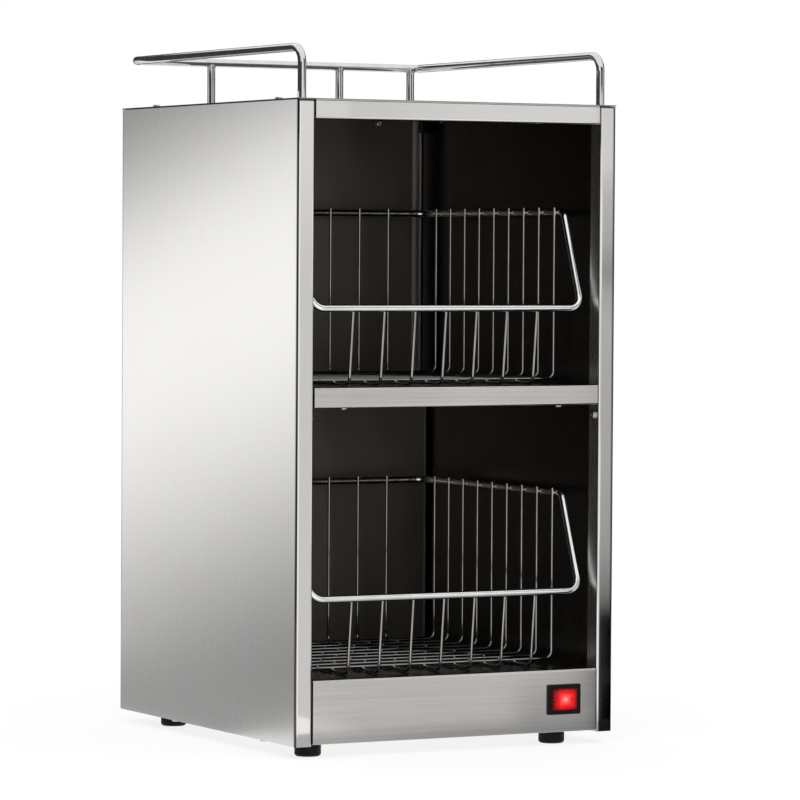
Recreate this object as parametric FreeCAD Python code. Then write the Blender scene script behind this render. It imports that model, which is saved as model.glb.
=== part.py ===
import FreeCAD, Part
import math
import os

V = FreeCAD.Vector

# Heated cup cabinet: folded sheet-metal case, two heated shelves, two wire baskets, gallery rail.
# Working frame: x from the left outer face, y from the front face backwards, z from the side
# panels' lower edge upwards, millimetres. The finished pieces are moved so that the origin lies
# under the middle of the whole object, on the surface that it stands on.

# Case
case_width = 300.0
case_depth = 342.0
case_height = 528.5
sheet = 1.0
bend = 1.0
strip_width = 15.0
lip_depth = 16.0
end_gap = 1.0
lid_gap = 0.4
seam = 0.2
side_play = 0.5
foot_flange = 11.0
head_flange = 15.0
rear_flange = 16.0
lid_flange = 16.9
lid_hem = 10.0
shelf_return = 20.0
tray_upturn = 13.0
front_upturn = 12.0

# Shelves, heights of their upper faces
lower_shelf_level = 54.0
upper_shelf_level = 293.0
fascia_bottom = 1.6

# Duct covers in front of the back panel
duct_depth = 21.0
lower_cover_gap = 4.0
upper_cover_gap = 12.0
lower_cover_fold = 2.0
upper_cover_fold = 5.0
cover_flange = 11.0
hanger_height = 16.0
hanger_inset = 40.0

# Gallery rail round the top
rail_dia = 7.0
rail_inset = 8.8
rail_front = 11.9
rail_back_inset = 5.5
rail_height = 41.9
rail_front_bend = 13.0
rail_back_bend = 7.5
post_left = 84.0
post_middle_inset = 88.0
post_right_inset = 15.5
stud_dia = 4.0
stud_length = 10.0

# Wire baskets
rim_dia = 6.0
wire_dia = 2.5
weld_gap = 0.05
slide_gap = 0.3
basket_side_gap = 4.0
basket_front = 18.0
basket_rear_gap = 25.0
front_rim_height = 64.4
back_rim_height = 145.5
slope_run = 30.0
rim_corner = 12.0
rim_shoulder = 7.0
wire_bend = 6.0
front_lean = 7.0
wire_overshoot = 1.0
long_wires = 7
long_wire_edge = 40.8
cross_wires = 9
cross_wire_front = 39.0
cross_wire_back = 27.2

# Feet
foot_dia = 22.0
foot_height = 10.0
foot_chamfer = 1.5
foot_left_gap = 1.5
foot_right_inset = 45.0
foot_front = 24.0
foot_back_inset = 61.0
foot_recess_dia = 9.0
foot_recess = 5.0

# Fasteners
screw_dia = 3.5
screw_head_dia = 6.5
screw_head = 2.0
screw_head_round = 1.2
screw_socket_dia = 2.0
screw_socket = 1.0
screw_play = 0.2
side_screw_inset = 9.0
top_screw_front = 54.0
top_screw_back_inset = 52.0
top_screw_length = 8.0
rear_screw_length = 6.0
rear_screw_low = 25.0
rear_screw_above_shelf = 36.0
rear_screw_under_shelf = 53.0
rear_screw_drop = 38.5
rear_middle_inset = 90.0
tray_screw_inset = 6.0
tray_screw_front = 70.0
tray_screw_back_inset = 102.0
tray_screw_length = 5.0
duct_screw_inset = 55.6
duct_screw_drop = 8.8
support_screw_depth = 8.5
support_screw_drop = 25.5
support_screw_length = 8.0
support_head_dia = 7.8
support_head = 2.5
support_tab = 15.0
nut_width = 7.0
nut_height = 3.2

# Heaters, the same under both shelves
mat_side_inset = 40.0
mat_front = 44.0
mat_back_inset = 54.0
mat_thickness = 3.0
pad_thickness = 11.0
block_width = 12.0
block_depth = 10.0
outer_tab_offset = -38.0
inner_tab_offset = 0.0
thermostat_offset = 40.0
thermostat_back_inset = 30.0
cap_dia = 17.0
cap_height = 4.0
thermostat_dia = 15.0
thermostat_body = 8.0
spacer_dia = 8.0
upper_spacer_inset = 46.0
upper_spacer_left = 50.0
upper_spacer_front = 15.0
upper_spacer_back_inset = 42.0
lower_spacer_inset = 30.0
lower_spacer_front = 60.0
lower_spacer_back_inset = 62.0
upper_cover_inset = 15.5
upper_cover_front = 3.0
upper_cover_back_inset = 16.0
lower_cover_inset = 24.0
lower_cover_front = 43.0
lower_cover_back_inset = 50.0

# Rocker switch
switch_inset = 47.35
switch_level = 28.85
bezel_width = 32.0
bezel_height = 25.5
bezel_proud = 1.8
bezel_corner = 1.5
bezel_edge = 0.6
body_width = 28.0
body_height = 21.5
body_depth = 24.0
switch_play = 0.3
heel_clearance = 2.0
pivot_depth = 1.5
rocker_radius = 12.5
rocker_half = 11.0
rocker_front = 5.9
rocker_dish = 1.2
rocker_height = 17.4
rocker_heel = 8.0
rocker_heel_depth = 4.0
rocker_tilt = 10.0
trunnion_dia = 3.0
trunnion_length = 1.4
trunnion_play = 0.05
lamp_dia = 5.0
lamp_length = 9.0
lamp_dome = 1.6
blade_width = 6.3
blade_thickness = 0.8
blade_length = 9.0
blade_spread = 7.0
blade_rise = 6.0
crimp_width = 7.0
crimp_height = 3.2
crimp_length = 13.0
crimp_start = 4.0

# Supply entry and terminals
entry_place = 60.0
entry_level = 24.0
gland_thread = 12.0
gland_bore = 7.0
gland_hex = 17.0
gland_flange = 5.0
gland_cap_length = 10.0
gland_cap_round = 2.5
gland_grip = 7.0
locknut = 4.0
gland_tail = 4.0
terminal_pitch = 10.0
terminal_width = 32.0
terminal_depth = 20.0
terminal_height = 18.0
terminal_back_inset = 38.0
terminal_screw_dia = 5.0
terminal_screw_length = 4.5
terminal_screw_pitch = 10.0
terminal_screw_slot = 1.0
terminal_well = 9.0
earth_place = 105.0
earth_back_inset = 80.0
earth_dia = 5.0
earth_length = 14.0
earth_nut_width = 8.0
lug_dia = 10.0
lug_width = 5.2

# Wiring
lead_dia = 2.6
lead_bend = 8.0
lead_level = 8.0
lead_pair = 1.65
lead_play = 0.15
front_run = 100.0
run_pitch = 15.0
riser_inset = 10.0
neutral_run_inset = 14.0
lead_drop = 10.0
lead_slope = 20.0
clip_width = 8.0
clip_wall = 3.5
clip_front = 154.0
clip_back_inset = 110.0
duct_clip_rise = 78.0
duct_clip_drop = 82.0
duct_hole_margin = 8.0
duct_hole_depth = 12.0


def box(x0, x1, y0, y1, z0, z1):
    return Part.makeBox(x1 - x0, y1 - y0, z1 - z0, V(x0, y0, z0))


def rod(start, end, dia):
    run = end - start
    return Part.makeCylinder(dia / 2, run.Length, start, run)


def ring(start, end, outer, inner):
    return rod(start, end, outer).cut(rod(start, end, inner))


def hex_nut(start, end, across_flats, bore):
    """Hexagonal nut from start to end; two of its flats lie square to y, or to z along y."""
    run = end - start
    side = V(0, 0, 1) if abs(run.y) > 0 else V(0, 1, 0)
    other = run.cross(side).normalize()
    reach = across_flats / 2 / math.cos(math.pi / 6)
    corners = [start + side * (reach * math.sin(math.radians(60 * k)))
               + other * (reach * math.cos(math.radians(60 * k))) for k in range(7)]
    nut = Part.Face(Part.makePolygon(corners)).extrude(run)
    return nut.cut(rod(start, end, bore)) if bore else nut


def end_edges(shape, point):
    """Edges of the round end whose centre is the point."""
    return [edge for edge in shape.Edges if (edge.CenterOfMass - point).Length < seam]


def pan_screw(seat, into, length, dia=screw_dia, head_dia=screw_head_dia, head=screw_head):
    """Screw whose head sits on the seat point; its shank runs along the unit vector into."""
    top = seat - into * head
    cap = rod(top, seat, head_dia)
    cap = cap.makeFillet(screw_head_round, end_edges(cap, top))
    socket = rod(top, top + into * screw_socket, screw_socket_dia)
    return cap.cut(socket).fuse(rod(seat, seat + into * length, dia)).removeSplitter()


def rounded_edges(points, radii, closed):
    """Lines and tangent arcs through the points, each corner rounded by its own radius."""
    count = len(points)
    edges = []
    last = None
    first = None
    for k in range(count):
        here = points[k]
        radius = radii[k]
        inner = closed or 0 < k < count - 1
        if inner and radius > 0:
            back = (points[k - 1] - here).normalize()
            ahead = (points[(k + 1) % count] - here).normalize()
            half = back.getAngle(ahead) / 2
            trim = radius / math.tan(half)
            start = here + back * trim
            end = here + ahead * trim
            centre = here + (back + ahead).normalize() * (radius / math.sin(half))
            crown = centre + (here - centre).normalize() * radius
        else:
            start = end = here
        if last is not None and (start - last).Length > 1e-6:
            edges.append(Part.LineSegment(last, start).toShape())
        if start is not end:
            edges.append(Part.Arc(start, crown, end).toShape())
        if first is None:
            first = start
        last = end
    if closed and (first - last).Length > 1e-6:
        edges.append(Part.LineSegment(last, first).toShape())
    return edges


def bent_rod(points, radius, dia):
    """Round rod or wire with open ends, bent to one radius or to a list of radii."""
    radii = radius if isinstance(radius, (list, tuple)) else [radius] * len(points)
    path = Part.Wire(rounded_edges(points, radii, False))
    ends = Part.Wire(Part.makeCircle(dia / 2, points[0], points[1] - points[0]))
    return path.makePipeShell([ends], True, False)


def closed_rod(points, radii, dia):
    """Round rod bent to a closed ring, with its joint in the middle of the last side."""
    joint = (points[0] + points[-1]) * 0.5
    far = len(points) // 2
    split = (points[far - 1] + points[far]) * 0.5
    one = bent_rod([joint] + points[:far] + [split], [0] + list(radii[:far]) + [0], dia)
    two = bent_rod([split] + points[far:] + [joint], [0] + list(radii[far:]) + [0], dia)
    return one.fuse(two).removeSplitter()


def folded(path, run, inside=None):
    """Folded sheet: path is its outer face and the sheet lies to its left, seen against run.

    Each corner is a fold with its own inside radius; the section is extruded along run."""
    up = V(run).normalize()
    count = len(path)
    inside = inside or [bend] * count
    ways = [(path[k + 1] - path[k]).normalize() for k in range(count - 1)]
    lefts = [up.cross(way) for way in ways]
    inner = []
    outer_radii = []
    inner_radii = []
    for k in range(count):
        if k == 0 or k == count - 1:
            inner.append(path[k] + lefts[min(k, count - 2)] * sheet)
            outer_radii.append(0)
            inner_radii.append(0)
            continue
        sum_left = lefts[k - 1] + lefts[k]
        inner.append(path[k] + sum_left * (sheet / (1 + lefts[k - 1].dot(lefts[k]))))
        turns_left = ways[k - 1].cross(ways[k]).dot(up) > 0
        outer_radii.append(inside[k] + sheet if turns_left else inside[k])
        inner_radii.append(inside[k] if turns_left else inside[k] + sheet)
    points = list(path) + inner[::-1]
    radii = outer_radii + inner_radii[::-1]
    return Part.Face(Part.Wire(rounded_edges(points, radii, True))).extrude(run)


def fused(shapes):
    shapes = list(shapes)
    return shapes[0].fuse(shapes[1:]).removeSplitter() if len(shapes) > 1 else shapes[0]


def without(shape, tools):
    return shape.cut(Part.makeCompound(list(tools)))


def mirrored(shape):
    """The same piece on the other side of the case's middle plane."""
    return shape.mirror(V(case_width / 2, 0, 0), V(1, 0, 0))


def both_sides(shapes):
    shapes = list(shapes)
    return shapes + [mirrored(shape) for shape in shapes]


# Places worked out from the driving dimensions
middle = case_width / 2
back_inside = case_depth - sheet
flange_front = back_inside - sheet
lid_under = case_height - sheet
side_top = lid_under - lid_gap
strip_gap = strip_width + end_gap
flange_start = lip_depth + end_gap
duct_front = case_depth - duct_depth
tray_inset = sheet + side_play
shelf_flange = 3 * sheet + mat_thickness + pad_thickness
tray_top = 2 * sheet
foot_x = (foot_flange + foot_left_gap + foot_dia / 2, case_width - foot_right_inset)
foot_y = (foot_front, case_depth - foot_back_inset)
rail_x = (rail_inset, case_width - rail_inset)
rail_y = (rail_front, case_depth - rail_back_inset)
rail_z = case_height + rail_height
post_places = (post_left, case_width - post_middle_inset, case_width - post_right_inset)
screw_hole = screw_dia + 2 * screw_play
stud_hole = stud_dia + 2 * screw_play
tray_screw_y = (tray_screw_front, case_depth - tray_screw_back_inset)
top_screw_y = (top_screw_front, case_depth - top_screw_back_inset)
support_level = upper_shelf_level - support_screw_drop
rear_screw_levels = (rear_screw_low, lower_shelf_level + rear_screw_above_shelf,
                     upper_shelf_level - rear_screw_under_shelf,
                     upper_shelf_level + rear_screw_above_shelf, case_height - rear_screw_drop)
shelf_levels = {"upper": upper_shelf_level, "lower": lower_shelf_level}
tab_places = (middle + outer_tab_offset, middle + inner_tab_offset)
switch_x = case_width - switch_inset
pivot = V(switch_x, pivot_depth, switch_level)
well_floor = pivot_depth + rocker_heel_depth + heel_clearance
front_corner = math.atan2(rocker_half, rocker_front) - math.radians(rocker_tilt)
front_reach = math.hypot(rocker_half, rocker_front) * math.cos(front_corner) - pivot_depth
rear_reach = case_depth + gland_flange + gland_cap_length


def side_panel():
    """Outer side with its front strip, the lip behind it and three narrow flanges."""
    path = [V(strip_width, lip_depth, 0), V(strip_width, 0, 0), V(0, 0, 0),
            V(0, back_inside, 0), V(rear_flange, back_inside, 0)]
    skin = folded(path[::-1], V(0, 0, side_top))
    flange_end = flange_front - bend - sheet
    foot = box(sheet / 2, foot_flange, flange_start, flange_end, 0, sheet)
    head = box(sheet / 2, head_flange, 2 * sheet + bend, duct_front - end_gap, side_top - sheet, side_top)
    panel = fused([skin, foot, head])
    holes = [rod(V(tray_screw_inset, y, -sheet), V(tray_screw_inset, y, 2 * sheet), screw_hole)
             for y in tray_screw_y]
    through = [(side_screw_inset, y, screw_hole) for y in top_screw_y]
    through.append((rail_inset, rail_front, stud_hole))
    holes += [rod(V(x, y, side_top - 2 * sheet), V(x, y, side_top + sheet), dia) for x, y, dia in through]
    x = side_screw_inset
    holes += [rod(V(x, flange_front - sheet, z), V(x, case_depth, z), screw_hole) for z in rear_screw_levels]
    holes += [rod(V(strip_width - 2 * sheet, support_screw_depth, support_level),
                  V(strip_width + sheet, support_screw_depth, support_level), screw_hole)]
    return without(panel, holes)


def top_panel():
    """Lid with the hemmed front flange between the strips and a hanger for the duct cover."""
    path = [V(0, lid_hem, case_height - lid_flange), V(0, 0, case_height - lid_flange),
            V(0, 0, case_height), V(0, case_depth, case_height)]
    flange = folded([p + V(strip_gap, 0, 0) for p in path][::-1], V(case_width - 2 * strip_gap, 0, 0))
    plate = box(0, case_width, 2 * sheet + bend, case_depth, lid_under, case_height)
    ends = [box(0, strip_gap, 0, 3 * sheet + bend, lid_under, case_height)]
    hanger = box(hanger_inset, case_width - hanger_inset, duct_front + sheet + seam,
                 duct_front + 2 * sheet + seam, case_height - hanger_height, case_height - sheet / 2)
    lid = fused([flange, plate, hanger] + both_sides(ends))
    through = [(x, y, screw_hole) for x in (side_screw_inset, case_width - side_screw_inset)
               for y in top_screw_y]
    through += [(x, rail_front, stud_hole) for x in rail_x]
    through += [(x, rail_y[1], stud_hole) for x in post_places]
    holes = [rod(V(x, y, lid_under - sheet), V(x, y, case_height + sheet), dia) for x, y, dia in through]
    level = case_height - duct_screw_drop
    holes += [rod(V(x, duct_front, level), V(x, case_depth, level), screw_hole)
              for x in (duct_screw_inset, case_width - duct_screw_inset)]
    return without(lid, holes)


def middle_levels():
    """Heights of the screws that join the back panel to the two shelves and the tray."""
    return [upper_shelf_level - shelf_flange / 2, lower_shelf_level - front_upturn / 2,
            sheet + tray_upturn / 2]


def rear_screw_places():
    places = [(x, z) for z in rear_screw_levels for x in (side_screw_inset, case_width - side_screw_inset)]
    places += [(x, z) for z in middle_levels() for x in (rear_middle_inset, case_width - rear_middle_inset)]
    return places


def rear_holes():
    return [rod(V(x, flange_front - 2 * sheet, z), V(x, case_depth + sheet, z), screw_hole)
            for x, z in rear_screw_places()]


def back_panel():
    plate = box(sheet / 2, case_width - sheet / 2, back_inside, case_depth, 0, side_top)
    entry = rod(V(entry_place, back_inside - sheet, entry_level),
                V(entry_place, case_depth + sheet, entry_level), gland_thread + 2 * screw_play)
    return without(plate, rear_holes() + [entry])


def base_panel():
    """Tray that closes the bottom, with an upturned front and rear edge."""
    front = strip_gap + seam
    rear = rear_flange + 2 * sheet
    plate = box(tray_inset, case_width - tray_inset, flange_start, flange_front - seam, sheet, tray_top)
    tongue_front = sheet + seam
    tongue = folded([V(front, tongue_front, sheet + front_upturn), V(front, tongue_front, sheet),
                     V(front, lip_depth + 2 * end_gap, sheet)], V(case_width - 2 * front, 0, 0))
    tail = folded([V(rear, flange_front - 4 * sheet, sheet), V(rear, back_inside, sheet),
                   V(rear, back_inside, sheet + tray_upturn)], V(case_width - 2 * rear, 0, 0))
    holes = [rod(V(x, y, 0), V(x, y, 3 * sheet), stud_hole) for x in foot_x for y in foot_y]
    holes += [rod(V(x, y, 0), V(x, y, 3 * sheet), screw_hole) for y in tray_screw_y
              for x in (tray_screw_inset, case_width - tray_screw_inset)]
    return without(fused([plate, tongue, tail]), holes + rear_holes())


def shelf(level, front_bottom, hem, rear_bottom, side_bottom):
    """Shelf plate with its front flange or fascia, rear flange and side flanges."""
    rear = rear_flange + 2 * sheet
    path = [V(strip_gap, hem, front_bottom)] if hem else []
    path += [V(strip_gap, 0, front_bottom), V(strip_gap, 0, level), V(strip_gap, back_inside, level),
             V(strip_gap, back_inside, rear_bottom)]
    middle_part = folded(path[::-1], V(case_width - 2 * strip_gap, 0, 0))
    wing_end = flange_front - seam
    corner = box(strip_gap - sheet, rear, wing_end, case_depth, rear_bottom - sheet, level + sheet)
    wing = box(tray_inset, strip_gap + sheet, flange_start, wing_end, level - sheet, level)
    flank = box(tray_inset, tray_inset + sheet, flange_start, wing_end, side_bottom, level)
    tray = without(middle_part, both_sides([corner]) + rear_holes())
    return fused([tray] + both_sides([wing, flank]))


def upper_shelf():
    """Upper shelf with the two tabs behind the lips that its support screws hold."""
    bottom = upper_shelf_level - shelf_flange
    body = shelf(upper_shelf_level, bottom, shelf_return, bottom, bottom)
    tab_x = strip_width - sheet - seam
    tab = box(tab_x - sheet, tab_x, 3 * sheet, flange_start + support_tab, support_level - screw_head_dia,
              upper_shelf_level - sheet / 2)
    trim = box(tab_x - 2 * sheet, tab_x + sheet, 0, flange_start, upper_shelf_level - sheet,
               upper_shelf_level + sheet)
    hole = rod(V(tab_x - 2 * sheet, support_screw_depth, support_level),
               V(tab_x + sheet, support_screw_depth, support_level), screw_hole)
    tab = without(tab, [trim, hole])
    seats = [rod(V(x, y, bottom - sheet), V(x, y, bottom + 2 * sheet), screw_hole)
             for x, y, low in spacer_places("upper")]
    return without(fused([body] + both_sides([tab])), seats)


def lower_shelf():
    """Lower shelf and switch fascia in one sheet; its side flanges stand on the base tray."""
    body = shelf(lower_shelf_level, fascia_bottom, 0, lower_shelf_level - front_upturn, tray_top)
    half_w = body_width / 2 + screw_play
    half_h = body_height / 2 + screw_play
    window = box(switch_x - half_w, switch_x + half_w, -sheet, 3 * sheet, switch_level - half_h,
                 switch_level + half_h)
    riser = riser_places()
    passage = box(min(riser) - duct_hole_margin, max(riser) + duct_hole_margin,
                  riser_depth() - duct_hole_depth / 2, riser_depth() + duct_hole_depth / 2,
                  lower_shelf_level - 2 * sheet, lower_shelf_level + sheet)
    return without(body, [window, passage])


def duct_cover(gap, fold, bottom, top, flange_out):
    """Pan in front of the back panel that hides the wiring duct."""
    seat = flange_front - seam
    x0 = gap
    reach = -cover_flange + sheet if flange_out else cover_flange
    path = [V(x0 + reach, seat, bottom), V(x0, seat, bottom), V(x0, duct_front, bottom),
            V(case_width - x0, duct_front, bottom), V(case_width - x0, seat, bottom),
            V(case_width - x0 - reach, seat, bottom)]
    if flange_out:
        step = V(0, sheet, 0)
        path = [path[0] - step, path[1] - step] + path[2:4] + [path[4] - step, path[5] - step]
    pan = folded(path, V(0, 0, top - bottom), inside=(0, bend, fold, fold, bend, 0))
    return without(pan, rear_holes())


def lower_duct_cover():
    return duct_cover(lower_cover_gap, lower_cover_fold, lower_shelf_level + seam,
                      upper_shelf_level - shelf_flange + sheet - seam, False)


def upper_duct_cover():
    """Cover of the upper compartment, cut away beside the gallery post's nut."""
    pan = duct_cover(upper_cover_gap, upper_cover_fold, upper_shelf_level + seam, lid_under - seam, True)
    relief = box(0, 2 * upper_cover_gap, duct_front + sheet + bend + upper_cover_fold, case_depth,
                 case_height - hanger_height, case_height)
    level = case_height - duct_screw_drop
    holes = [rod(V(x, duct_front - sheet, level), V(x, duct_front + 2 * sheet, level), screw_hole)
             for x in (duct_screw_inset, case_width - duct_screw_inset)]
    return without(pan, both_sides([relief]) + holes)


def gallery_rail():
    """One rod bent round the top; its two front legs end in threaded studs."""
    left, right = rail_x
    front, back = rail_y
    foot = case_height
    points = [V(left, front, foot), V(left, front, rail_z), V(left, back, rail_z), V(right, back, rail_z),
              V(right, front, rail_z), V(right, front, foot)]
    radii = [0, rail_front_bend, rail_back_bend, rail_back_bend, rail_front_bend, 0]
    studs = [rod(V(x, front, foot - stud_length), V(x, front, foot + rail_dia), stud_dia) for x in rail_x]
    return fused([bent_rod(points, radii, rail_dia)] + studs)


def gallery_posts(rail):
    """Posts under the back of the rail, each saddled to it and ending in a stud."""
    back = rail_y[1]
    posts = []
    for x in post_places:
        post = rod(V(x, back, case_height), V(x, back, rail_z), rail_dia).cut(rail)
        stud = rod(V(x, back, case_height - stud_length), V(x, back, case_height + rail_dia), stud_dia)
        posts.append(fused([post, stud]))
    return Part.makeCompound(posts)


def gallery_nuts():
    """Nuts under the lid: the front pair clamp the side panels' flanges as well."""
    places = [(x, rail_front, side_top - sheet) for x in rail_x]
    places += [(x, rail_y[1], lid_under) for x in post_places]
    return Part.makeCompound([hex_nut(V(x, y, top - nut_height), V(x, y, top), nut_width, stud_dia)
                              for x, y, top in places])


def top_panel_screws():
    return Part.makeCompound(both_sides(
        pan_screw(V(side_screw_inset, y, case_height), V(0, 0, -1), top_screw_length) for y in top_screw_y))


def back_panel_screws():
    return Part.makeCompound([pan_screw(V(x, case_depth, z), V(0, -1, 0), rear_screw_length)
                              for x, z in rear_screw_places()])


def base_panel_screws():
    return Part.makeCompound(both_sides(
        pan_screw(V(tray_screw_inset, y, 0), V(0, 0, 1), tray_screw_length) for y in tray_screw_y))


def duct_cover_screws():
    level = case_height - duct_screw_drop
    return Part.makeCompound(both_sides(
        [pan_screw(V(duct_screw_inset, duct_front, level), V(0, 1, 0), rear_screw_length)]))


def shelf_support_screws():
    """Round-head screws through the lips just under the upper shelf."""
    return Part.makeCompound(both_sides(
        [pan_screw(V(strip_width, support_screw_depth, support_level), V(-1, 0, 0), support_screw_length,
                   head_dia=support_head_dia, head=support_head)]))


def shelf_support_nuts():
    seat = strip_width - 2 * sheet - seam
    return Part.makeCompound(both_sides(
        [hex_nut(V(seat - nut_height, support_screw_depth, support_level),
                 V(seat, support_screw_depth, support_level), nut_width, screw_dia)]))


def foot_places():
    return [V(x, y, 0) for x in foot_x for y in foot_y]


def rubber_feet():
    feet = []
    for place in foot_places():
        low = place - V(0, 0, foot_height)
        foot = rod(low, place + V(0, 0, sheet), foot_dia)
        foot = foot.makeChamfer(foot_chamfer, end_edges(foot, low))
        recess = rod(low, low + V(0, 0, foot_recess), foot_recess_dia)
        shank = rod(low, place + V(0, 0, 2 * sheet), stud_dia)
        feet.append(without(foot, [recess, shank]))
    return Part.makeCompound(feet)


def foot_screws():
    drop = foot_height - foot_recess
    length = drop + tray_top + nut_height + sheet
    return Part.makeCompound([pan_screw(place - V(0, 0, drop), V(0, 0, 1), length, stud_dia)
                              for place in foot_places()])


def foot_nuts():
    return Part.makeCompound([hex_nut(place + V(0, 0, tray_top), place + V(0, 0, tray_top + nut_height),
                                      nut_width, stud_dia) for place in foot_places()])


def spacer_places(which):
    """Spacers between shelf plate and heater cover: x, y and the screw head's seat height."""
    back = case_depth - (upper_spacer_back_inset if which == "upper" else lower_spacer_back_inset)
    bottom = shelf_levels[which] - sheet - mat_thickness - pad_thickness
    if which == "upper":
        xs = (upper_spacer_left, case_width - upper_spacer_inset)
        front_places = [(x, upper_spacer_front, bottom - 2 * sheet) for x in xs]
        return front_places + [(x, back, bottom - sheet) for x in xs]
    xs = (lower_spacer_inset, case_width - lower_spacer_inset)
    return [(x, y, bottom - sheet) for x in xs for y in (lower_spacer_front, back)]


def heater_cover_spacers():
    spacers = []
    for which, level in shelf_levels.items():
        under = level - sheet
        for x, y, seat in spacer_places(which):
            low = V(x, y, under - mat_thickness - pad_thickness)
            spacers.append(ring(low, V(x, y, under), spacer_dia, screw_dia))
    return Part.makeCompound(spacers)


def heater_cover_screws():
    return Part.makeCompound([pan_screw(V(x, y, low), V(0, 0, 1), pad_thickness)
                              for which in shelf_levels for x, y, low in spacer_places(which)])


def tab_block(x, under):
    back = case_depth - mat_back_inset
    return box(x - block_width / 2, x + block_width / 2, back, back + block_depth,
               under - lead_drop - lead_dia, under)


def heater(which):
    """Flat heating mat pressed to the shelf, with its two terminal blocks at the rear edge."""
    under = shelf_levels[which] - sheet
    mat = box(mat_side_inset, case_width - mat_side_inset, mat_front, case_depth - mat_back_inset,
              under - mat_thickness, under)
    return fused([mat] + [tab_block(x, under) for x in tab_places])


def insulation(which):
    top = shelf_levels[which] - sheet - mat_thickness
    return box(mat_side_inset, case_width - mat_side_inset, mat_front, case_depth - mat_back_inset,
               top - pad_thickness, top)


def heater_cover(which):
    if which == "upper":
        inset, front, back = upper_cover_inset, upper_cover_front, case_depth - upper_cover_back_inset
    else:
        inset, front, back = lower_cover_inset, lower_cover_front, case_depth - lower_cover_back_inset
    top = shelf_levels[which] - sheet - mat_thickness - pad_thickness
    plate = box(inset, case_width - inset, front, back, top - sheet, top)
    return without(plate, [rod(V(x, y, top - 2 * sheet), V(x, y, top + sheet), screw_hole)
                           for x, y, low in spacer_places(which)])


def thermostat_centre(which):
    return V(middle + thermostat_offset, case_depth - thermostat_back_inset, shelf_levels[which] - sheet)


def thermostat_blades(which):
    centre = thermostat_centre(which) - V(0, 0, lead_drop)
    reach = thermostat_dia / 2 + blade_length
    return box(centre.x - reach, centre.x + reach, centre.y - blade_width / 2, centre.y + blade_width / 2,
               centre.z - blade_thickness / 2, centre.z + blade_thickness / 2)


def thermostat(which):
    """Disc thermostat: metal cap against the shelf plate, moulded body and two side blades."""
    top = thermostat_centre(which)
    cap = rod(top - V(0, 0, cap_height), top, cap_dia)
    body = rod(top - V(0, 0, cap_height + thermostat_body), top - V(0, 0, cap_height), thermostat_dia)
    return fused([cap, body, thermostat_blades(which)])


def blade_places():
    return [V(switch_x + side * blade_spread, body_depth, switch_level + rise * blade_rise)
            for rise in (-1, 1) for side in (-1, 1)]


def switch_blades():
    half = V(blade_width / 2, 0, blade_thickness / 2)
    return Part.makeCompound([Part.makeBox(blade_width, blade_length, blade_thickness, place - half)
                              for place in blade_places()])


def switch_housing():
    """Bezel and body in one moulding, with the rocker's well, trunnion holes and lamp pocket."""
    half_w, half_h = bezel_width / 2, bezel_height / 2
    bezel = box(switch_x - half_w, switch_x + half_w, -bezel_proud, 0, switch_level - half_h,
                switch_level + half_h)
    corners = [e for e in bezel.Edges if abs(e.tangentAt(e.FirstParameter).y) > 0.9]
    bezel = bezel.makeFillet(bezel_corner, corners)
    face = [e for e in bezel.Edges if abs(e.CenterOfMass.y + bezel_proud) < 1e-6]
    bezel = bezel.makeChamfer(bezel_edge, face)
    body = box(switch_x - body_width / 2, switch_x + body_width / 2, 0, body_depth,
               switch_level - body_height / 2, switch_level + body_height / 2)
    well_half = rocker_radius + switch_play
    well_height = rocker_height / 2 + switch_play
    well = box(switch_x - well_half, switch_x + well_half, -2 * bezel_proud, well_floor,
               switch_level - well_height, switch_level + well_height)
    bore = trunnion_dia + 2 * trunnion_play
    reach = rocker_height / 2 + trunnion_length + switch_play
    bearing = rod(pivot - V(0, 0, reach), pivot + V(0, 0, reach), bore)
    pocket = rod(V(switch_x, 0, switch_level), V(switch_x, well_floor + lamp_length, switch_level),
                 lamp_dia + 2 * screw_play)
    return without(fused([bezel, body]), [well, bearing, pocket])


def switch_lamp():
    """Glass lamp in the pocket behind the rocker; its dome points forwards."""
    tip = V(switch_x, well_floor, switch_level)
    lamp = rod(tip, tip + V(0, lamp_length, 0), lamp_dia)
    return lamp.makeFillet(lamp_dome, end_edges(lamp, tip))


def switch_rocker():
    """Translucent rocker at rest in its on position, with its left end proud."""
    def at(x, y):
        return V(pivot.x + x, pivot.y + y, switch_level - rocker_height / 2)
    shoulder_x = math.sqrt(rocker_radius ** 2 - pivot_depth ** 2)
    corner_radius = math.hypot(rocker_half, rocker_front)
    flank_angle = (math.atan2(-rocker_front, rocker_half) + math.atan2(pivot_depth, shoulder_x)) / 2
    flank_x, flank_y = corner_radius * math.cos(flank_angle), corner_radius * math.sin(flank_angle)
    left, right = at(-rocker_half, -rocker_front), at(rocker_half, -rocker_front)
    left_shoulder, right_shoulder = at(-shoulder_x, pivot_depth), at(shoulder_x, pivot_depth)
    left_heel, right_heel = at(-rocker_heel, rocker_heel_depth), at(rocker_heel, rocker_heel_depth)
    edges = [Part.Arc(left, at(0, rocker_dish - rocker_front), right).toShape(),
             Part.Arc(right, at(flank_x, flank_y), right_shoulder).toShape(),
             Part.LineSegment(right_shoulder, right_heel).toShape(),
             Part.LineSegment(right_heel, left_heel).toShape(),
             Part.LineSegment(left_heel, left_shoulder).toShape(),
             Part.Arc(left_shoulder, at(-flank_x, flank_y), left).toShape()]
    block = Part.Face(Part.Wire(edges)).extrude(V(0, 0, rocker_height))
    reach = rocker_height / 2 + trunnion_length
    block = fused([block, rod(pivot - V(0, 0, reach), pivot + V(0, 0, reach), trunnion_dia)])
    block.rotate(pivot, V(0, 0, 1), rocker_tilt)
    return block


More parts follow.
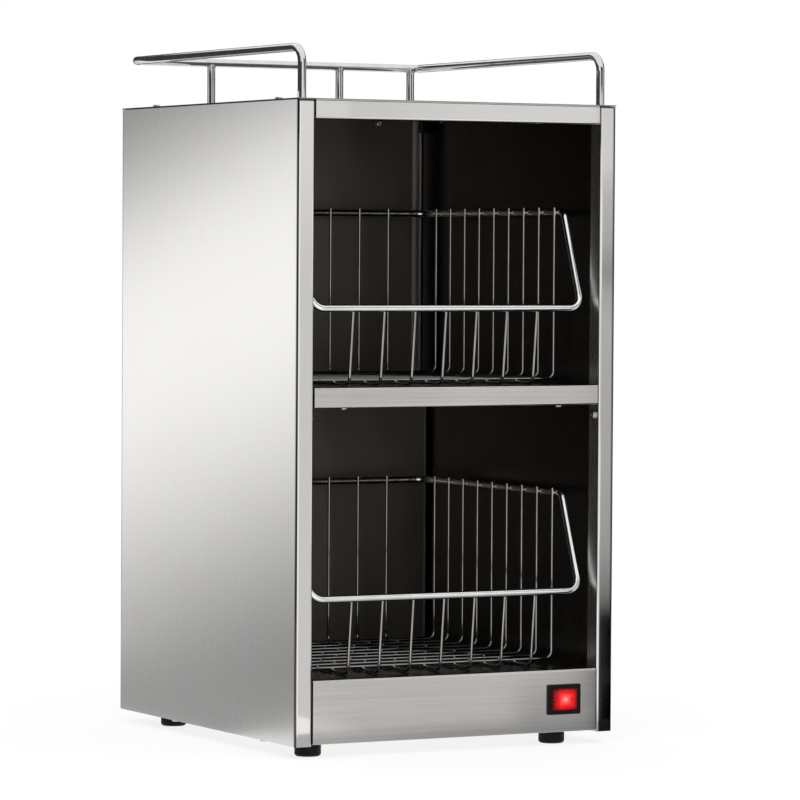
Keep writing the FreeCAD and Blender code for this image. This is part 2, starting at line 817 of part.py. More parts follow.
def crimp(start, way, blades):
    """Push-on connector: starts part way along the blade and points along way."""
    end = start + way * crimp_length
    side = V(0, 0, 1).cross(way) * (crimp_width / 2)
    low = V(0, 0, crimp_height / 2)
    corners = [start - side - low, start + side - low, end + side - low, end - side - low]
    block = Part.Face(Part.makePolygon(corners + corners[:1])).extrude(low * 2)
    return block.cut(blades)


def switch_lead_end():
    return body_depth + crimp_start + crimp_length


def thermostat_lead_reach():
    return thermostat_dia / 2 + crimp_start + crimp_length


def crimp_terminals():
    blades = switch_blades()
    crimps = [crimp(p + V(0, crimp_start, 0), V(0, 1, 0), blades) for p in blade_places()]
    for which in shelf_levels:
        centre = thermostat_centre(which) - V(0, 0, lead_drop)
        for way in (V(-1, 0, 0), V(1, 0, 0)):
            start = centre + way * (thermostat_dia / 2 + crimp_start)
            crimps.append(crimp(start, way, thermostat_blades(which)))
    return Part.makeCompound(crimps)


def terminal_screw_places():
    """Bottoms of the block's screw wells, two for each of its three poles."""
    y = case_depth - terminal_back_inset - terminal_depth / 2
    half = terminal_screw_pitch / 2
    level = tray_top + terminal_height - terminal_well
    return [V(entry_place + pole * terminal_pitch, y + side * half, level)
            for pole in (-1, 0, 1) for side in (-1, 1)]


def terminal_block():
    """Three-pole block behind the supply entry; the poles' screws sit in wells."""
    back = case_depth - terminal_back_inset
    half = terminal_width / 2
    block = box(entry_place - half, entry_place + half, back - terminal_depth, back, tray_top,
                tray_top + terminal_height)
    bore = terminal_screw_dia + 2 * screw_play
    depth = V(0, 0, terminal_well + sheet)
    return without(block, [rod(place, place + depth, bore) for place in terminal_screw_places()])


def terminal_screws():
    """Clamping screws in the block's wells."""
    screws = []
    for place in terminal_screw_places():
        top = place + V(0, 0, terminal_screw_length)
        half = terminal_screw_slot / 2
        slot = box(top.x - terminal_screw_dia, top.x + terminal_screw_dia, top.y - half, top.y + half,
                   top.z - terminal_screw_slot, top.z + terminal_screw_slot)
        screws.append(rod(place, top, terminal_screw_dia).cut(slot))
    return Part.makeCompound(screws)


def cord_gland_body():
    """Threaded body with its hexagon against the back panel."""
    centre = V(entry_place, 0, entry_level)
    inner_end = centre + V(0, back_inside - locknut - gland_tail, 0)
    seat = centre + V(0, case_depth, 0)
    outer_end = seat + V(0, gland_flange + gland_grip, 0)
    thread = rod(inner_end, outer_end, gland_thread)
    collar = hex_nut(seat, seat + V(0, gland_flange, 0), gland_hex, 0)
    return fused([thread, collar]).cut(rod(inner_end, outer_end, gland_bore))


def cord_gland_cap():
    """Domed clamping cap that would grip the supply cord."""
    start = V(entry_place, case_depth + gland_flange, entry_level)
    end = start + V(0, gland_cap_length, 0)
    cap = rod(start, end, gland_hex)
    cap = cap.makeFillet(gland_cap_round, end_edges(cap, end))
    socket = rod(start, start + V(0, gland_grip, 0), gland_thread)
    return without(cap, [socket, rod(start, end, gland_bore)])


def cord_gland_locknut():
    centre = V(entry_place, back_inside, entry_level)
    return hex_nut(centre - V(0, locknut, 0), centre, gland_hex, gland_thread)


def earth_centre():
    return V(earth_place, case_depth - earth_back_inset, tray_top)


def earth_stud():
    """Earth stud welded upright on the tray."""
    foot = earth_centre()
    return rod(foot, foot + V(0, 0, earth_length), earth_dia)


def lug_top():
    return lead_level + lead_dia / 2


def earth_lug():
    """Ring lug that stands on a collar round the stud and ends in a barrel for the lead."""
    foot = earth_centre()
    top = foot + V(0, 0, lug_top() - tray_top)
    collar = rod(foot, top, lug_dia)
    barrel = box(foot.x - lug_dia, foot.x, foot.y - lug_width / 2, foot.y + lug_width / 2,
                 lead_level - lead_dia / 2, lug_top())
    return fused([collar, barrel]).cut(rod(foot, top, earth_dia))


def earth_nut():
    top = earth_centre() + V(0, 0, lug_top() - tray_top)
    return hex_nut(top, top + V(0, 0, nut_height), earth_nut_width, earth_dia)


def riser_places():
    """Places across the case of the two leads that climb the duct."""
    return (switch_x - blade_spread + lead_pair, switch_x + blade_spread + lead_pair)


def riser_depth():
    return case_depth - riser_inset


def lead(points):
    return bent_rod(points, lead_bend, lead_dia)


def supply_lead(pole, run_y, blade):
    """From a pole of the terminal block along the tray to a lower blade of the switch."""
    start_y = case_depth - terminal_back_inset - terminal_depth
    x = entry_place + pole * terminal_pitch
    end_y = switch_lead_end()
    slope_y = end_y + lead_slope
    return lead([V(x, start_y, lead_level), V(x, run_y, lead_level), V(blade.x, run_y, lead_level),
                 V(blade.x, slope_y, blade.z), V(blade.x, end_y, blade.z)])


def live_wires():
    """Supply lead, lead to the lower thermostat and lead up the duct to the upper thermostat."""
    low_blade, high_blade = blade_places()[0], blade_places()[2]
    start_y = switch_lead_end()
    duct_y = riser_depth()
    low = thermostat_centre("lower") - V(0, 0, lead_drop)
    high = thermostat_centre("upper") - V(0, 0, lead_drop)
    reach = thermostat_lead_reach()
    under_cover = case_depth - lower_cover_back_inset - lead_dia
    x = high_blade.x - lead_pair
    to_low = lead([V(x, start_y, high_blade.z), V(x, under_cover, high_blade.z), V(x, low.y, low.z),
                   V(low.x + reach, low.y, low.z)])
    x = riser_places()[0]
    to_high = lead([V(x, start_y, high_blade.z), V(x, duct_y, high_blade.z), V(x, duct_y, high.z),
                    V(x, high.y, high.z), V(high.x + reach, high.y, high.z)])
    return Part.makeCompound([supply_lead(-1, front_run, low_blade), to_low, to_high])


def neutral_wires():
    """Supply lead, lead to the lower heater and lead up the duct to the upper heater."""
    low_blade, high_blade = blade_places()[1], blade_places()[3]
    start_y = switch_lead_end()
    duct_y = riser_depth()
    block_y = case_depth - mat_back_inset + block_depth
    low_z = lower_shelf_level - sheet - lead_drop
    high_z = upper_shelf_level - sheet - lead_drop + 2 * lead_dia
    under_cover = case_depth - lower_cover_back_inset - lead_dia
    run_y = case_depth - neutral_run_inset
    tab = tab_places[0]
    x = high_blade.x - lead_pair
    to_low = lead([V(x, start_y, high_blade.z), V(x, under_cover, high_blade.z), V(x, run_y, low_z),
                   V(tab, run_y, low_z), V(tab, block_y, low_z)])
    x = riser_places()[1]
    to_high = lead([V(x, start_y, high_blade.z), V(x, duct_y, high_blade.z), V(x, duct_y, high_z),
                    V(tab, duct_y, high_z), V(tab, block_y, high_z)])
    return Part.makeCompound([supply_lead(0, front_run + run_pitch, low_blade), to_low, to_high])


def earth_wire():
    start = V(entry_place + terminal_pitch, case_depth - terminal_back_inset - terminal_depth, lead_level)
    foot = earth_centre()
    return lead([start, V(start.x, foot.y, lead_level), V(foot.x - lug_dia, foot.y, lead_level)])


def heater_links():
    """Short leads from each thermostat to its heater's inner terminal block."""
    links = []
    block_y = case_depth - mat_back_inset + block_depth
    for which in shelf_levels:
        centre = thermostat_centre(which) - V(0, 0, lead_drop)
        x = tab_places[1]
        links.append(lead([centre - V(thermostat_lead_reach(), 0, 0), V(x, centre.y, centre.z),
                           V(x, block_y, centre.z)]))
    return Part.makeCompound(links)


def clip(way, holes, low, high):
    """Block from low to high across a run of leads; holes are points on them, way is their direction."""
    reach = way * clip_width
    tools = [rod(hole - reach, hole + reach, lead_dia + 2 * lead_play) for hole in holes]
    return without(box(low.x, high.x, low.y, high.y, low.z, high.z), tools)


def wire_clips():
    """Clips on the tray, under the lower heater cover and in the duct."""
    clips = []
    half = clip_width / 2
    clip_top = lead_level + clip_wall
    poles = [entry_place - terminal_pitch, entry_place]
    blades = [blade_places()[2], blade_places()[3]]
    leads = [blade.x + side * lead_pair for blade in blades for side in (-1, 1)]
    level = blades[0].z
    cover_under = lower_shelf_level - 2 * sheet - mat_thickness - pad_thickness
    for y in (clip_front, case_depth - clip_back_inset):
        clips.append(clip(V(0, 1, 0), [V(x, y, lead_level) for x in poles],
                          V(poles[0] - clip_wall, y - half, tray_top),
                          V(poles[1] + clip_wall, y + half, clip_top)))
        clips.append(clip(V(0, 1, 0), [V(x, y, level) for x in leads],
                          V(min(leads) - clip_wall, y - half, level - clip_wall),
                          V(max(leads) + clip_wall, y + half, cover_under)))
    runs = [front_run, front_run + run_pitch]
    clips.append(clip(V(1, 0, 0), [V(middle, y, lead_level) for y in runs],
                      V(middle - half, runs[0] - clip_wall, tray_top),
                      V(middle + half, runs[1] + clip_wall, clip_top)))
    risers = riser_places()
    for z in (lower_shelf_level + duct_clip_rise, upper_shelf_level - duct_clip_drop):
        clips.append(clip(V(0, 0, 1), [V(x, riser_depth(), z) for x in risers],
                          V(min(risers) - clip_wall, riser_depth() - clip_wall, z - half),
                          V(max(risers) + clip_wall, back_inside, z + half)))
    return Part.makeCompound(clips)


# Basket places shared by rim and wires
basket_left = strip_width + basket_side_gap + rim_dia / 2
basket_right = case_width - basket_left
basket_back = duct_front - basket_rear_gap - rim_dia / 2
basket_depth = basket_back - basket_front
tuck = rim_dia / 2 + wire_dia / 2 + weld_gap


def basket_rim(level):
    """Closed rim: low across the front, sloping up at both sides, high along sides and back."""
    low = level + front_rim_height
    high = level + back_rim_height
    shoulder = basket_front + slope_run
    points = [V(basket_left, basket_front, low), V(basket_left, shoulder, high),
              V(basket_left, basket_back, high), V(basket_right, basket_back, high),
              V(basket_right, shoulder, high), V(basket_right, basket_front, low)]
    radii = [rim_corner, rim_shoulder, rim_corner, rim_corner, rim_shoulder, rim_corner]
    return closed_rod(points, radii, rim_dia)


def basket_long_wires(level):
    """Wires from the front rim down, back along the floor and up to the back rim."""
    floor = level + slide_gap + wire_dia / 2
    front = basket_front + tuck
    back = basket_back - tuck
    low_top = level + front_rim_height + wire_overshoot
    high_top = level + back_rim_height + rim_dia / 2 + wire_overshoot
    pitch = (basket_right - basket_left - 2 * long_wire_edge) / (long_wires - 1)
    wires = []
    for k in range(long_wires):
        x = basket_left + long_wire_edge + k * pitch
        wires.append(bent_rod([V(x, front, low_top), V(x, front + front_lean, floor), V(x, back, floor),
                               V(x, back, high_top)], wire_bend, wire_dia))
    return Part.makeCompound(wires)


def basket_cross_wires(level):
    """Wires from side to side, laid on the long wires and turned up to the side rims."""
    floor = level + slide_gap + wire_dia * 1.5 + weld_gap
    left = basket_left + tuck
    right = basket_right - tuck
    top = level + back_rim_height + rim_dia / 2 + wire_overshoot
    pitch = (basket_depth - cross_wire_front - cross_wire_back) / (cross_wires - 1)
    wires = []
    for k in range(cross_wires):
        y = basket_front + cross_wire_front + k * pitch
        wires.append(bent_rod([V(left, y, top), V(left, y, floor), V(right, y, floor), V(right, y, top)],
                              wire_bend, wire_dia))
    return Part.makeCompound(wires)


def pieces():
    """Every node of the assembly by name, in the working frame."""
    left = side_panel()
    rail = gallery_rail()
    parts = {
        "left_side_panel": left,
        "right_side_panel": mirrored(left),
        "top_panel": top_panel(),
        "back_panel": back_panel(),
        "base_panel": base_panel(),
        "lower_shelf": lower_shelf(),
        "upper_shelf": upper_shelf(),
        "lower_duct_cover": lower_duct_cover(),
        "upper_duct_cover": upper_duct_cover(),
        "gallery_rail": rail,
        "gallery_posts": gallery_posts(rail),
        "gallery_nuts": gallery_nuts(),
        "top_panel_screws": top_panel_screws(),
        "back_panel_screws": back_panel_screws(),
        "base_panel_screws": base_panel_screws(),
        "duct_cover_screws": duct_cover_screws(),
        "shelf_support_screws": shelf_support_screws(),
        "shelf_support_nuts": shelf_support_nuts(),
        "rubber_feet": rubber_feet(),
        "foot_screws": foot_screws(),
        "foot_nuts": foot_nuts(),
        "heater_cover_spacers": heater_cover_spacers(),
        "heater_cover_screws": heater_cover_screws(),
        "switch_housing": switch_housing(),
        "switch_rocker": switch_rocker(),
        "switch_lamp": switch_lamp(),
        "switch_blades": switch_blades(),
        "crimp_terminals": crimp_terminals(),
        "terminal_block": terminal_block(),
        "terminal_screws": terminal_screws(),
        "cord_gland_body": cord_gland_body(),
        "cord_gland_cap": cord_gland_cap(),
        "cord_gland_locknut": cord_gland_locknut(),
        "earth_stud": earth_stud(),
        "earth_lug": earth_lug(),
        "earth_nut": earth_nut(),
        "live_wires": live_wires(),
        "neutral_wires": neutral_wires(),
        "earth_wire": earth_wire(),
        "heater_links": heater_links(),
        "wire_clips": wire_clips(),
    }
    for which, level in shelf_levels.items():
        parts[which + "_heater"] = heater(which)
        parts[which + "_insulation"] = insulation(which)
        parts[which + "_heater_cover"] = heater_cover(which)
        parts[which + "_thermostat"] = thermostat(which)
        parts[which + "_basket_rim"] = basket_rim(level)
        parts[which + "_basket_long_wires"] = basket_long_wires(level)
        parts[which + "_basket_cross_wires"] = basket_cross_wires(level)
    return parts


def main():
    os.makedirs("parts", exist_ok=True)
    shift = V(-middle, -(rear_reach - front_reach) / 2, foot_height)
    for name, shape in pieces().items():
        shape.translate(shift)
        shape.exportStep("parts/" + name + ".step")
    print("shift", shift, "rocker pivot", pivot + shift)


main()
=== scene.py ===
"""Looks of the cup warmer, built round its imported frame."""

import math

import bpy
from mathutils import Matrix, Vector


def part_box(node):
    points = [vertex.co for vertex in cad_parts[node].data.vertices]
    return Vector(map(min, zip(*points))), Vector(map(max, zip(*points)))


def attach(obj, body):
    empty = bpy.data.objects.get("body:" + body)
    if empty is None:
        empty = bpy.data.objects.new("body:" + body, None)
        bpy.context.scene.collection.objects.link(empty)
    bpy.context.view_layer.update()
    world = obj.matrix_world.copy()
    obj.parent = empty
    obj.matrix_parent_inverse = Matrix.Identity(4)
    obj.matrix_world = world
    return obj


bl_info = {
    "name": "Cup Warmer Looks",
    "version": (1, 0, 0),
    "blender": (4, 5, 0),
    "location": "View3D > Sidebar > Cup Warmer",
    "description": "Dresses the heated cup cabinet: brushed sheet, chromed baskets, lit switch and studio",
    "category": "Object",
}

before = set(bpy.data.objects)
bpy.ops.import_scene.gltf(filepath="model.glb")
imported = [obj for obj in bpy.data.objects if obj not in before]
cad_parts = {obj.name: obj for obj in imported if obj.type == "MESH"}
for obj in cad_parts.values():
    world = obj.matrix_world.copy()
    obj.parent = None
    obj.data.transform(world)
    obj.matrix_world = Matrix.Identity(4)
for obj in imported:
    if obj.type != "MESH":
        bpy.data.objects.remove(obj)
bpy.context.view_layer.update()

MM = 0.001
CABINET = "cabinet"
BASKETS = {"upper": "upper_basket", "lower": "lower_basket"}
SHEET = 1.0 * MM
LIP_DEPTH = 16.0 * MM
# How far each duct cover's side flange and its corner fold reach inward
COVER_FLANGE = {"lower_duct_cover": 0.0, "upper_duct_cover": 10.0 * MM}
COVER_FOLD = {"lower_duct_cover": 3.0 * MM, "upper_duct_cover": 9.0 * MM}

# The photograph's camera, in the frame's own metres and in degrees
CAMERA_PLACE = (-1.76033, -3.34239, 0.4114)
CAMERA_YAW = 28.2977
CAMERA_PITCH = -1.8975
CAMERA_ROLL = 0.3464
CAMERA_SENSOR = 36.0
CAMERA_FOCUS_PIXELS = 4377.75
PICTURE_PIXELS = 800

RIM_DIA = 6.0 * MM
WIRE_DIA = 2.5 * MM
ROD_DIA = 7.0 * MM

# Brushed grain as drawn, and the roughness of the buffed front strips
GRAIN_WIDTH = 1.1 * MM
GRAIN_RUN = 180.0 * MM
CLOUD_SIZE = 90.0 * MM
GRAIN_RELIEF = 0.035
STRIP_ROUGHNESS = 0.055

# Painted reflections of the dark room, as dark lines along the tight bends round the front: how far down, how
# far back, how wide at left and right
BEND_DROP = 1.7 * MM
BEND_DEPTH = 2.5 * MM
CORNER_DEPTH = 4.0 * MM
CORNER_WIDTHS = (1.2 * MM, 3.4 * MM)

# Studio, in metres and degrees; the cards stand before the left side and the front
FLOOR_REACH = 30.0
FLOOR_GLOW = 0.8
MAT_LEVEL = 0.001
CARD_TOP = 0.6
CARD_GAP = 0.25
SIDE_CARD_ENDS = (-0.05, 1.3)
SIDE_MAT_ENDS = (0.0, 0.7)
SIDE_MAT_GAP = 0.02
FRONT_CARD_GAP = 0.45
FRONT_CARD_RIGHT = 0.62
FRONT_CARD_TOP = 0.57
FRONT_FLAG_RISE = 0.2
CARD_SLOPE = 0.59
DARK_MAT_DEPTH = 0.16
DARK_MAT_LEFT = -0.3
DARK_MAT_GAP = 0.002
RAIL_FLAG_GAP = 11.0 * MM
RAIL_FLAG_RISE = 6.0 * MM
FLAG_RADIUS = 1.5
FLAG_HEIGHT = 1.25
FLAG_START = -40.0
FLAG_END = 225.0
GALLERY_FLAG_RADIUS = 1.45
GALLERY_FLAG_START = 190.0
GALLERY_FLAG_END = 240.0
FLAG_END_TONE = 0.9
# The left side's mirrored bands tilt by this much of the depth, about this place
SIDE_TILT = 0.242
SIDE_TILT_PLACE = 0.624
# Across the front face: half the openings' width, and where the right strip's mirrored tones set in
OPENING_REACH = 0.13
STRIP_START = 0.133
STRIP_FULL = 0.137
# Each lamp's name, place, size and share of the lamps' power
LAMPS = (("Key_lamp", (-1.6, -2.2, 2.4), 1.6, 1.0), ("Fill_lamp", (2.0, -2.0, 1.6), 1.8, 0.5))
LAMP_AIM = (0, 0, 0.25)

front_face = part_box("upper_shelf")[0].y
case_low, case_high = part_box("left_side_panel")[0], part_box("right_side_panel")[1]
lid_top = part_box("top_panel")[1].z


def linear(colour):
    """Linear RGBA from an sRGB hex colour."""
    parts = [int(colour[k:k + 2], 16) / 255 for k in (1, 3, 5)]
    return tuple(c / 12.92 if c <= 0.04045 else ((c + 0.055) / 1.055) ** 2.4 for c in parts) + (1.0,)


def add(tree, kind, inputs=None, **settings):
    """Adds a node; inputs maps a socket's name or number to a value or to a socket that feeds it."""
    made = tree.nodes.new(kind)
    for name, value in settings.items():
        setattr(made, name, value)
    for key, value in (inputs or {}).items():
        if isinstance(value, bpy.types.NodeSocket):
            tree.links.new(value, made.inputs[key])
        else:
            made.inputs[key].default_value = value
    return made


def new_material(name):
    """An empty material with its output node, and the tree to build in."""
    made = bpy.data.materials.new(name)
    made.use_nodes = True
    made.node_tree.nodes.clear()
    return made, made.node_tree


def finish_material(tree, shader):
    add(tree, "ShaderNodeOutputMaterial", {"Surface": shader})


def stretched_noise(tree, size, detail=3.0, seed=0.0):
    """Noise on Object coordinates whose grains are as large along X, Y and Z as size says."""
    place = add(tree, "ShaderNodeTexCoord")
    spread = add(tree, "ShaderNodeMapping", {
        "Vector": place.outputs["Object"], "Location": (seed, seed, seed),
        "Scale": tuple(1.0 / length for length in size)})
    return add(tree, "ShaderNodeTexNoise", {
        "Vector": spread.outputs["Vector"], "Scale": 1.0, "Detail": detail, "Roughness": 0.6}).outputs["Fac"]


def ranged(tree, value, low, high, start=0.3, end=0.7):
    return add(tree, "ShaderNodeMapRange", {
        "Value": value, "From Min": start, "From Max": end, "To Min": low, "To Max": high}).outputs["Result"]


def tinted(tree, value, dark, light):
    return add(tree, "ShaderNodeMix", {
        0: value, 6: linear(dark), 7: linear(light)}, data_type="RGBA").outputs[2]


def math_node(tree, operation, first, second):
    return add(tree, "ShaderNodeMath", {0: first, 1: second}, operation=operation).outputs[0]


def object_place(tree):
    """The three sockets of the Object coordinates."""
    place = add(tree, "ShaderNodeTexCoord")
    return add(tree, "ShaderNodeSeparateXYZ", {0: place.outputs["Object"]}).outputs


def stepped(tree, value, stops):
    """Curve of a value through (position, level) stops; neither has to lie between 0 and 1."""
    start, end = stops[0][0], stops[-1][0]
    peak = max(level for position, level in stops)
    along = ranged(tree, value, 0.0, 1.0, start, end)
    ramp = add(tree, "ShaderNodeValToRGB", {0: along})
    elements = ramp.color_ramp.elements
    while len(elements) < len(stops):
        elements.new(0.5)
    for element, (position, level) in zip(elements, stops):
        element.position = (position - start) / (end - start)
        element.color = (level / peak, level / peak, level / peak, 1.0)
    return math_node(tree, "MULTIPLY", ramp.outputs[0], peak)


def bumped(tree, height, distance, strength=0.3):
    return add(tree, "ShaderNodeBump", {
        "Height": height, "Distance": distance, "Strength": strength}).outputs["Normal"]


def grain_size(along):
    return tuple(GRAIN_RUN if axis == along else GRAIN_WIDTH for axis in "XYZ")


def line_at_corner(tree, first, second):
    """1 on the line where both values are 0, fading to 0 where their length reaches 1."""
    joined = add(tree, "ShaderNodeCombineXYZ", {0: first, 1: second})
    away = add(tree, "ShaderNodeVectorMath", {0: joined.outputs[0]}, operation="LENGTH").outputs["Value"]
    return ranged(tree, away, 1.0, 0.0, 0.5, 1.0)


def painted_bend_reflections(tree, top, upright):
    """Mask of the dark lines painted along the tight bends round the front face, a painted reflection of the
    dark room a millimetre or two wide: along the top of the front, and on uprights along the outer corner,
    wider at the right."""
    x, y, z = object_place(tree)[:3]
    deep = math_node(tree, "SUBTRACT", y, front_face)
    below = math_node(tree, "DIVIDE", math_node(tree, "SUBTRACT", top, z), BEND_DROP)
    lines = line_at_corner(tree, below, math_node(tree, "DIVIDE", deep, BEND_DEPTH))
    if not upright:
        return lines
    inward = math_node(tree, "SUBTRACT", case_high.x, math_node(tree, "ABSOLUTE", x, 0.0))
    width = ranged(tree, x, *CORNER_WIDTHS, -10 * MM, 10 * MM)
    corner = line_at_corner(tree, math_node(tree, "DIVIDE", inward, width),
                            math_node(tree, "DIVIDE", deep, CORNER_DEPTH))
    return math_node(tree, "MAXIMUM", lines, corner)


def brushed_sheet(name, along, dark, light, roughness, inside=None, polish=None, cut_edge=0.0, bend_top=None):
    """Stainless 304 sheet, belt-brushed. The grain runs along one axis; real scratches are 0.1 mm wide,
    too fine to show, so they are drawn 1.1 mm wide. It gives faint streaks and a satin sheen.

    inside is (low corner, high corner) of the box in which the sheet's inner face is painted dark, as painted
    shade inside the case. Nearer to the front than polish the face is buffed brighter. Past cut_edge from the
    middle the cut edge is painted dark, as painted shade on the thin edge.
    With bend_top, the height of the bend along the top, the bends round the front get dark lines painted on,
    a painted reflection of the dark room."""
    made, tree = new_material(name)
    grain = stretched_noise(tree, grain_size(along), 4.0)
    cloud = stretched_noise(tree, (CLOUD_SIZE,) * 3, 2.0, 3.1)
    mixed = math_node(tree, "ADD", math_node(tree, "MULTIPLY", grain, 0.6),
                      math_node(tree, "MULTIPLY", cloud, 0.4))
    rough = ranged(tree, grain, roughness - 0.01, roughness + 0.015)
    relief = GRAIN_RELIEF
    if polish is not None:
        buffed = math_node(tree, "LESS_THAN", object_place(tree)[1], polish)
        rough = add(tree, "ShaderNodeMix", {0: buffed, 2: rough, 3: STRIP_ROUGHNESS}).outputs[0]
        relief = math_node(tree, "MULTIPLY", math_node(tree, "SUBTRACT", 1.0, buffed), relief)
    colour = tinted(tree, ranged(tree, mixed, 0.0, 1.0), dark, light)
    # Painted reflection: dark lines along the front bends, standing in for the dark room mirrored in them.
    if bend_top is not None:
        upright = not cut_edge
        colour = add(tree, "ShaderNodeMix", {
            0: painted_bend_reflections(tree, bend_top, upright), 6: colour,
            7: linear("#494542" if upright else "#87837F")}, data_type="RGBA").outputs[2]
    outer = add(tree, "ShaderNodeBsdfPrincipled", {
        "Base Color": colour, "Metallic": 1.0,
        "Roughness": rough, "Normal": bumped(tree, grain, 0.01 * MM, relief)}).outputs[0]
    # Painted shade: past cut_edge the lid's thin edge is a rougher steel, painted dark as the shade on that
    # edge.
    if cut_edge:
        away = math_node(tree, "ABSOLUTE", object_place(tree)[0], 0.0)
        shaded_edge = add(tree, "ShaderNodeBsdfPrincipled", {
            "Base Color": linear("#3A3735"), "Metallic": 1.0,
            "Roughness": ranged(tree, grain, 0.4, 0.55)}).outputs[0]
        outer = add(tree, "ShaderNodeMixShader", {
            0: math_node(tree, "GREATER_THAN", away, cut_edge), 1: outer, 2: shaded_edge}).outputs[0]
    # Painted shade: inside the box the sheet takes the dark inner colour.
    if inside is not None:
        outer = add(tree, "ShaderNodeMixShader", {
            0: box_mask(tree, *inside), 1: outer, 2: painted_shade_inner(tree)}).outputs[0]
    finish_material(tree, outer)
    return made


def painted_shade_inner(tree, dark="#474441", light="#57534F", roughness=0.24):
    """Inner face of the sheet, bright-rolled, in a dark colour that is painted shade: it stands in for the
    shade inside the case.
    """
    smear = stretched_noise(tree, (70 * MM, 70 * MM, 160 * MM), 2.0, 5.3)
    return add(tree, "ShaderNodeBsdfPrincipled", {
        "Base Color": tinted(tree, ranged(tree, smear, 0.0, 1.0), dark, light), "Metallic": 1.0,
        "Roughness": ranged(tree, smear, roughness - 0.04, roughness + 0.06)}).outputs[0]


def box_mask(tree, low, high):
    """1 inside the box, 0 outside, on Object coordinates."""
    place = object_place(tree)
    mask = 1.0
    for k in range(3):
        above = math_node(tree, "GREATER_THAN", place[k], low[k])
        below = math_node(tree, "LESS_THAN", place[k], high[k])
        both = math_node(tree, "MULTIPLY", above, below)
        mask = math_node(tree, "MULTIPLY", both, mask)
    return mask


def duct_sheet(name, fold_start):
    """Bright-rolled 304 of the duct covers, painted dark brown-grey as painted shade at the back of the case,
    with a soft sheen.

    Past fold_start from the middle, on the bent corner, the sheet keeps its own light steel colour."""
    made, tree = new_material(name)
    away = math_node(tree, "ABSOLUTE", object_place(tree)[0], 0.0)
    bent = ranged(tree, away, 0.0, 1.0, fold_start - 0.5 * MM, fold_start + 0.5 * MM)
    bright = add(tree, "ShaderNodeBsdfPrincipled", {
        "Base Color": linear("#D8D4CE"), "Metallic": 1.0,
        "Roughness": ranged(tree, stretched_noise(tree, (3 * MM, 3 * MM, 40 * MM)), 0.6, 0.7)}).outputs[0]
    finish_material(tree, add(tree, "ShaderNodeMixShader", {
        0: bent, 1: painted_shade_inner(tree, "#6B6660", "#7E7972", 0.42), 2: bright}).outputs[0])
    return made


def polished_rod(name, dark, light, roughness):
    """Chrome plate or buffed 304 on drawn rod: a mirror finish with faint draw marks."""
    made, tree = new_material(name)
    marks = stretched_noise(tree, (14 * MM,) * 3, 2.0, 1.7)
    finish_material(tree, add(tree, "ShaderNodeBsdfPrincipled", {
        "Base Color": tinted(tree, ranged(tree, marks, 0.0, 1.0), dark, light), "Metallic": 1.0,
        "Roughness": ranged(tree, marks, roughness, roughness + 0.05)}).outputs[0])
    return made


def turned_steel(name):
    """Zinc-plated screw steel: cool grey with a fine turned bump."""
    made, tree = new_material(name)
    marks = stretched_noise(tree, (1.2 * MM,) * 3, 2.0, 2.3)
    finish_material(tree, add(tree, "ShaderNodeBsdfPrincipled", {
        "Base Color": tinted(tree, ranged(tree, marks, 0.0, 1.0), "#A9A8A5", "#D0CFCB"), "Metallic": 1.0,
        "Roughness": ranged(tree, marks, 0.22, 0.34), "Normal": bumped(tree, marks, 0.05 * MM)}).outputs[0])
    return made


def moulded(name, dark, light, roughness, grain=0.8 * MM, bump=0.04 * MM, specular=0.5):
    """Injection-moulded or pressed plain stuff: an even colour with a fine spark-eroded grain."""
    made, tree = new_material(name)
    pits = stretched_noise(tree, (grain,) * 3, 3.0, 4.9)
    finish_material(tree, add(tree, "ShaderNodeBsdfPrincipled", {
        "Base Color": tinted(tree, ranged(tree, pits, 0.0, 1.0), dark, light),
        "Roughness": ranged(tree, pits, roughness - 0.05, roughness + 0.07), "IOR": 1.52,
        "Specular IOR Level": specular,
        "Normal": bumped(tree, pits, bump)}).outputs[0])
    return made


def brass(name):
    """Stamped brass: warm yellow, dulled in patches."""
    made, tree = new_material(name)
    patch = stretched_noise(tree, (4 * MM,) * 3, 3.0, 6.1)
    finish_material(tree, add(tree, "ShaderNodeBsdfPrincipled", {
        "Base Color": tinted(tree, ranged(tree, patch, 0.0, 1.0), "#B48A3C", "#DDBB6A"), "Metallic": 1.0,
        "Roughness": ranged(tree, patch, 0.25, 0.42)}).outputs[0])
    return made


def lit_rocker(name):
    """Translucent red polycarbonate over a lit lamp: brightest in the middle, dark red at the edges.

    The glow spreads as a rounded square, which is the fourth root of the sum of fourth powers."""
    made, tree = new_material(name)
    low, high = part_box("switch_rocker")
    centre = (low + high) / 2
    reach = (high - low) / 2
    place = add(tree, "ShaderNodeTexCoord")
    near = add(tree, "ShaderNodeMapping", {
        "Vector": place.outputs["Object"], "Location": (-centre.x / reach.x, 0.0, -centre.z / reach.z),
        "Scale": (1 / reach.x, 0.0, 1 / reach.z)})
    squared = add(tree, "ShaderNodeVectorMath", {
        0: near.outputs[0], 1: near.outputs[0]}, operation="MULTIPLY")
    away = add(tree, "ShaderNodeVectorMath", {0: squared.outputs[0]}, operation="LENGTH").outputs["Value"]
    away = math_node(tree, "POWER", away, 0.5)
    prisms = stretched_noise(tree, (1.4 * MM,) * 3, 2.0, 7.7)
    spread = math_node(tree, "ADD", away, ranged(tree, prisms, -0.1, 0.1))
    ramp = add(tree, "ShaderNodeValToRGB", {0: spread})
    stops = ((0.0, "#FFB8AE"), (0.2, "#FF6A60"), (0.48, "#EA2024"), (0.76, "#B80C11"), (0.9, "#560406"),
             (1.0, "#160102"))
    while len(ramp.color_ramp.elements) < len(stops):
        ramp.color_ramp.elements.new(0.5)
    for element, (position, colour) in zip(ramp.color_ramp.elements, stops):
        element.position = position
        element.color = linear(colour)
    finish_material(tree, add(tree, "ShaderNodeBsdfPrincipled", {
        "Base Color": linear("#5A0406"), "Roughness": 0.2, "IOR": 1.58, "Specular IOR Level": 0.2,
        "Emission Color": ramp.outputs[0], "Emission Strength": 1.1}).outputs[0])
    return made


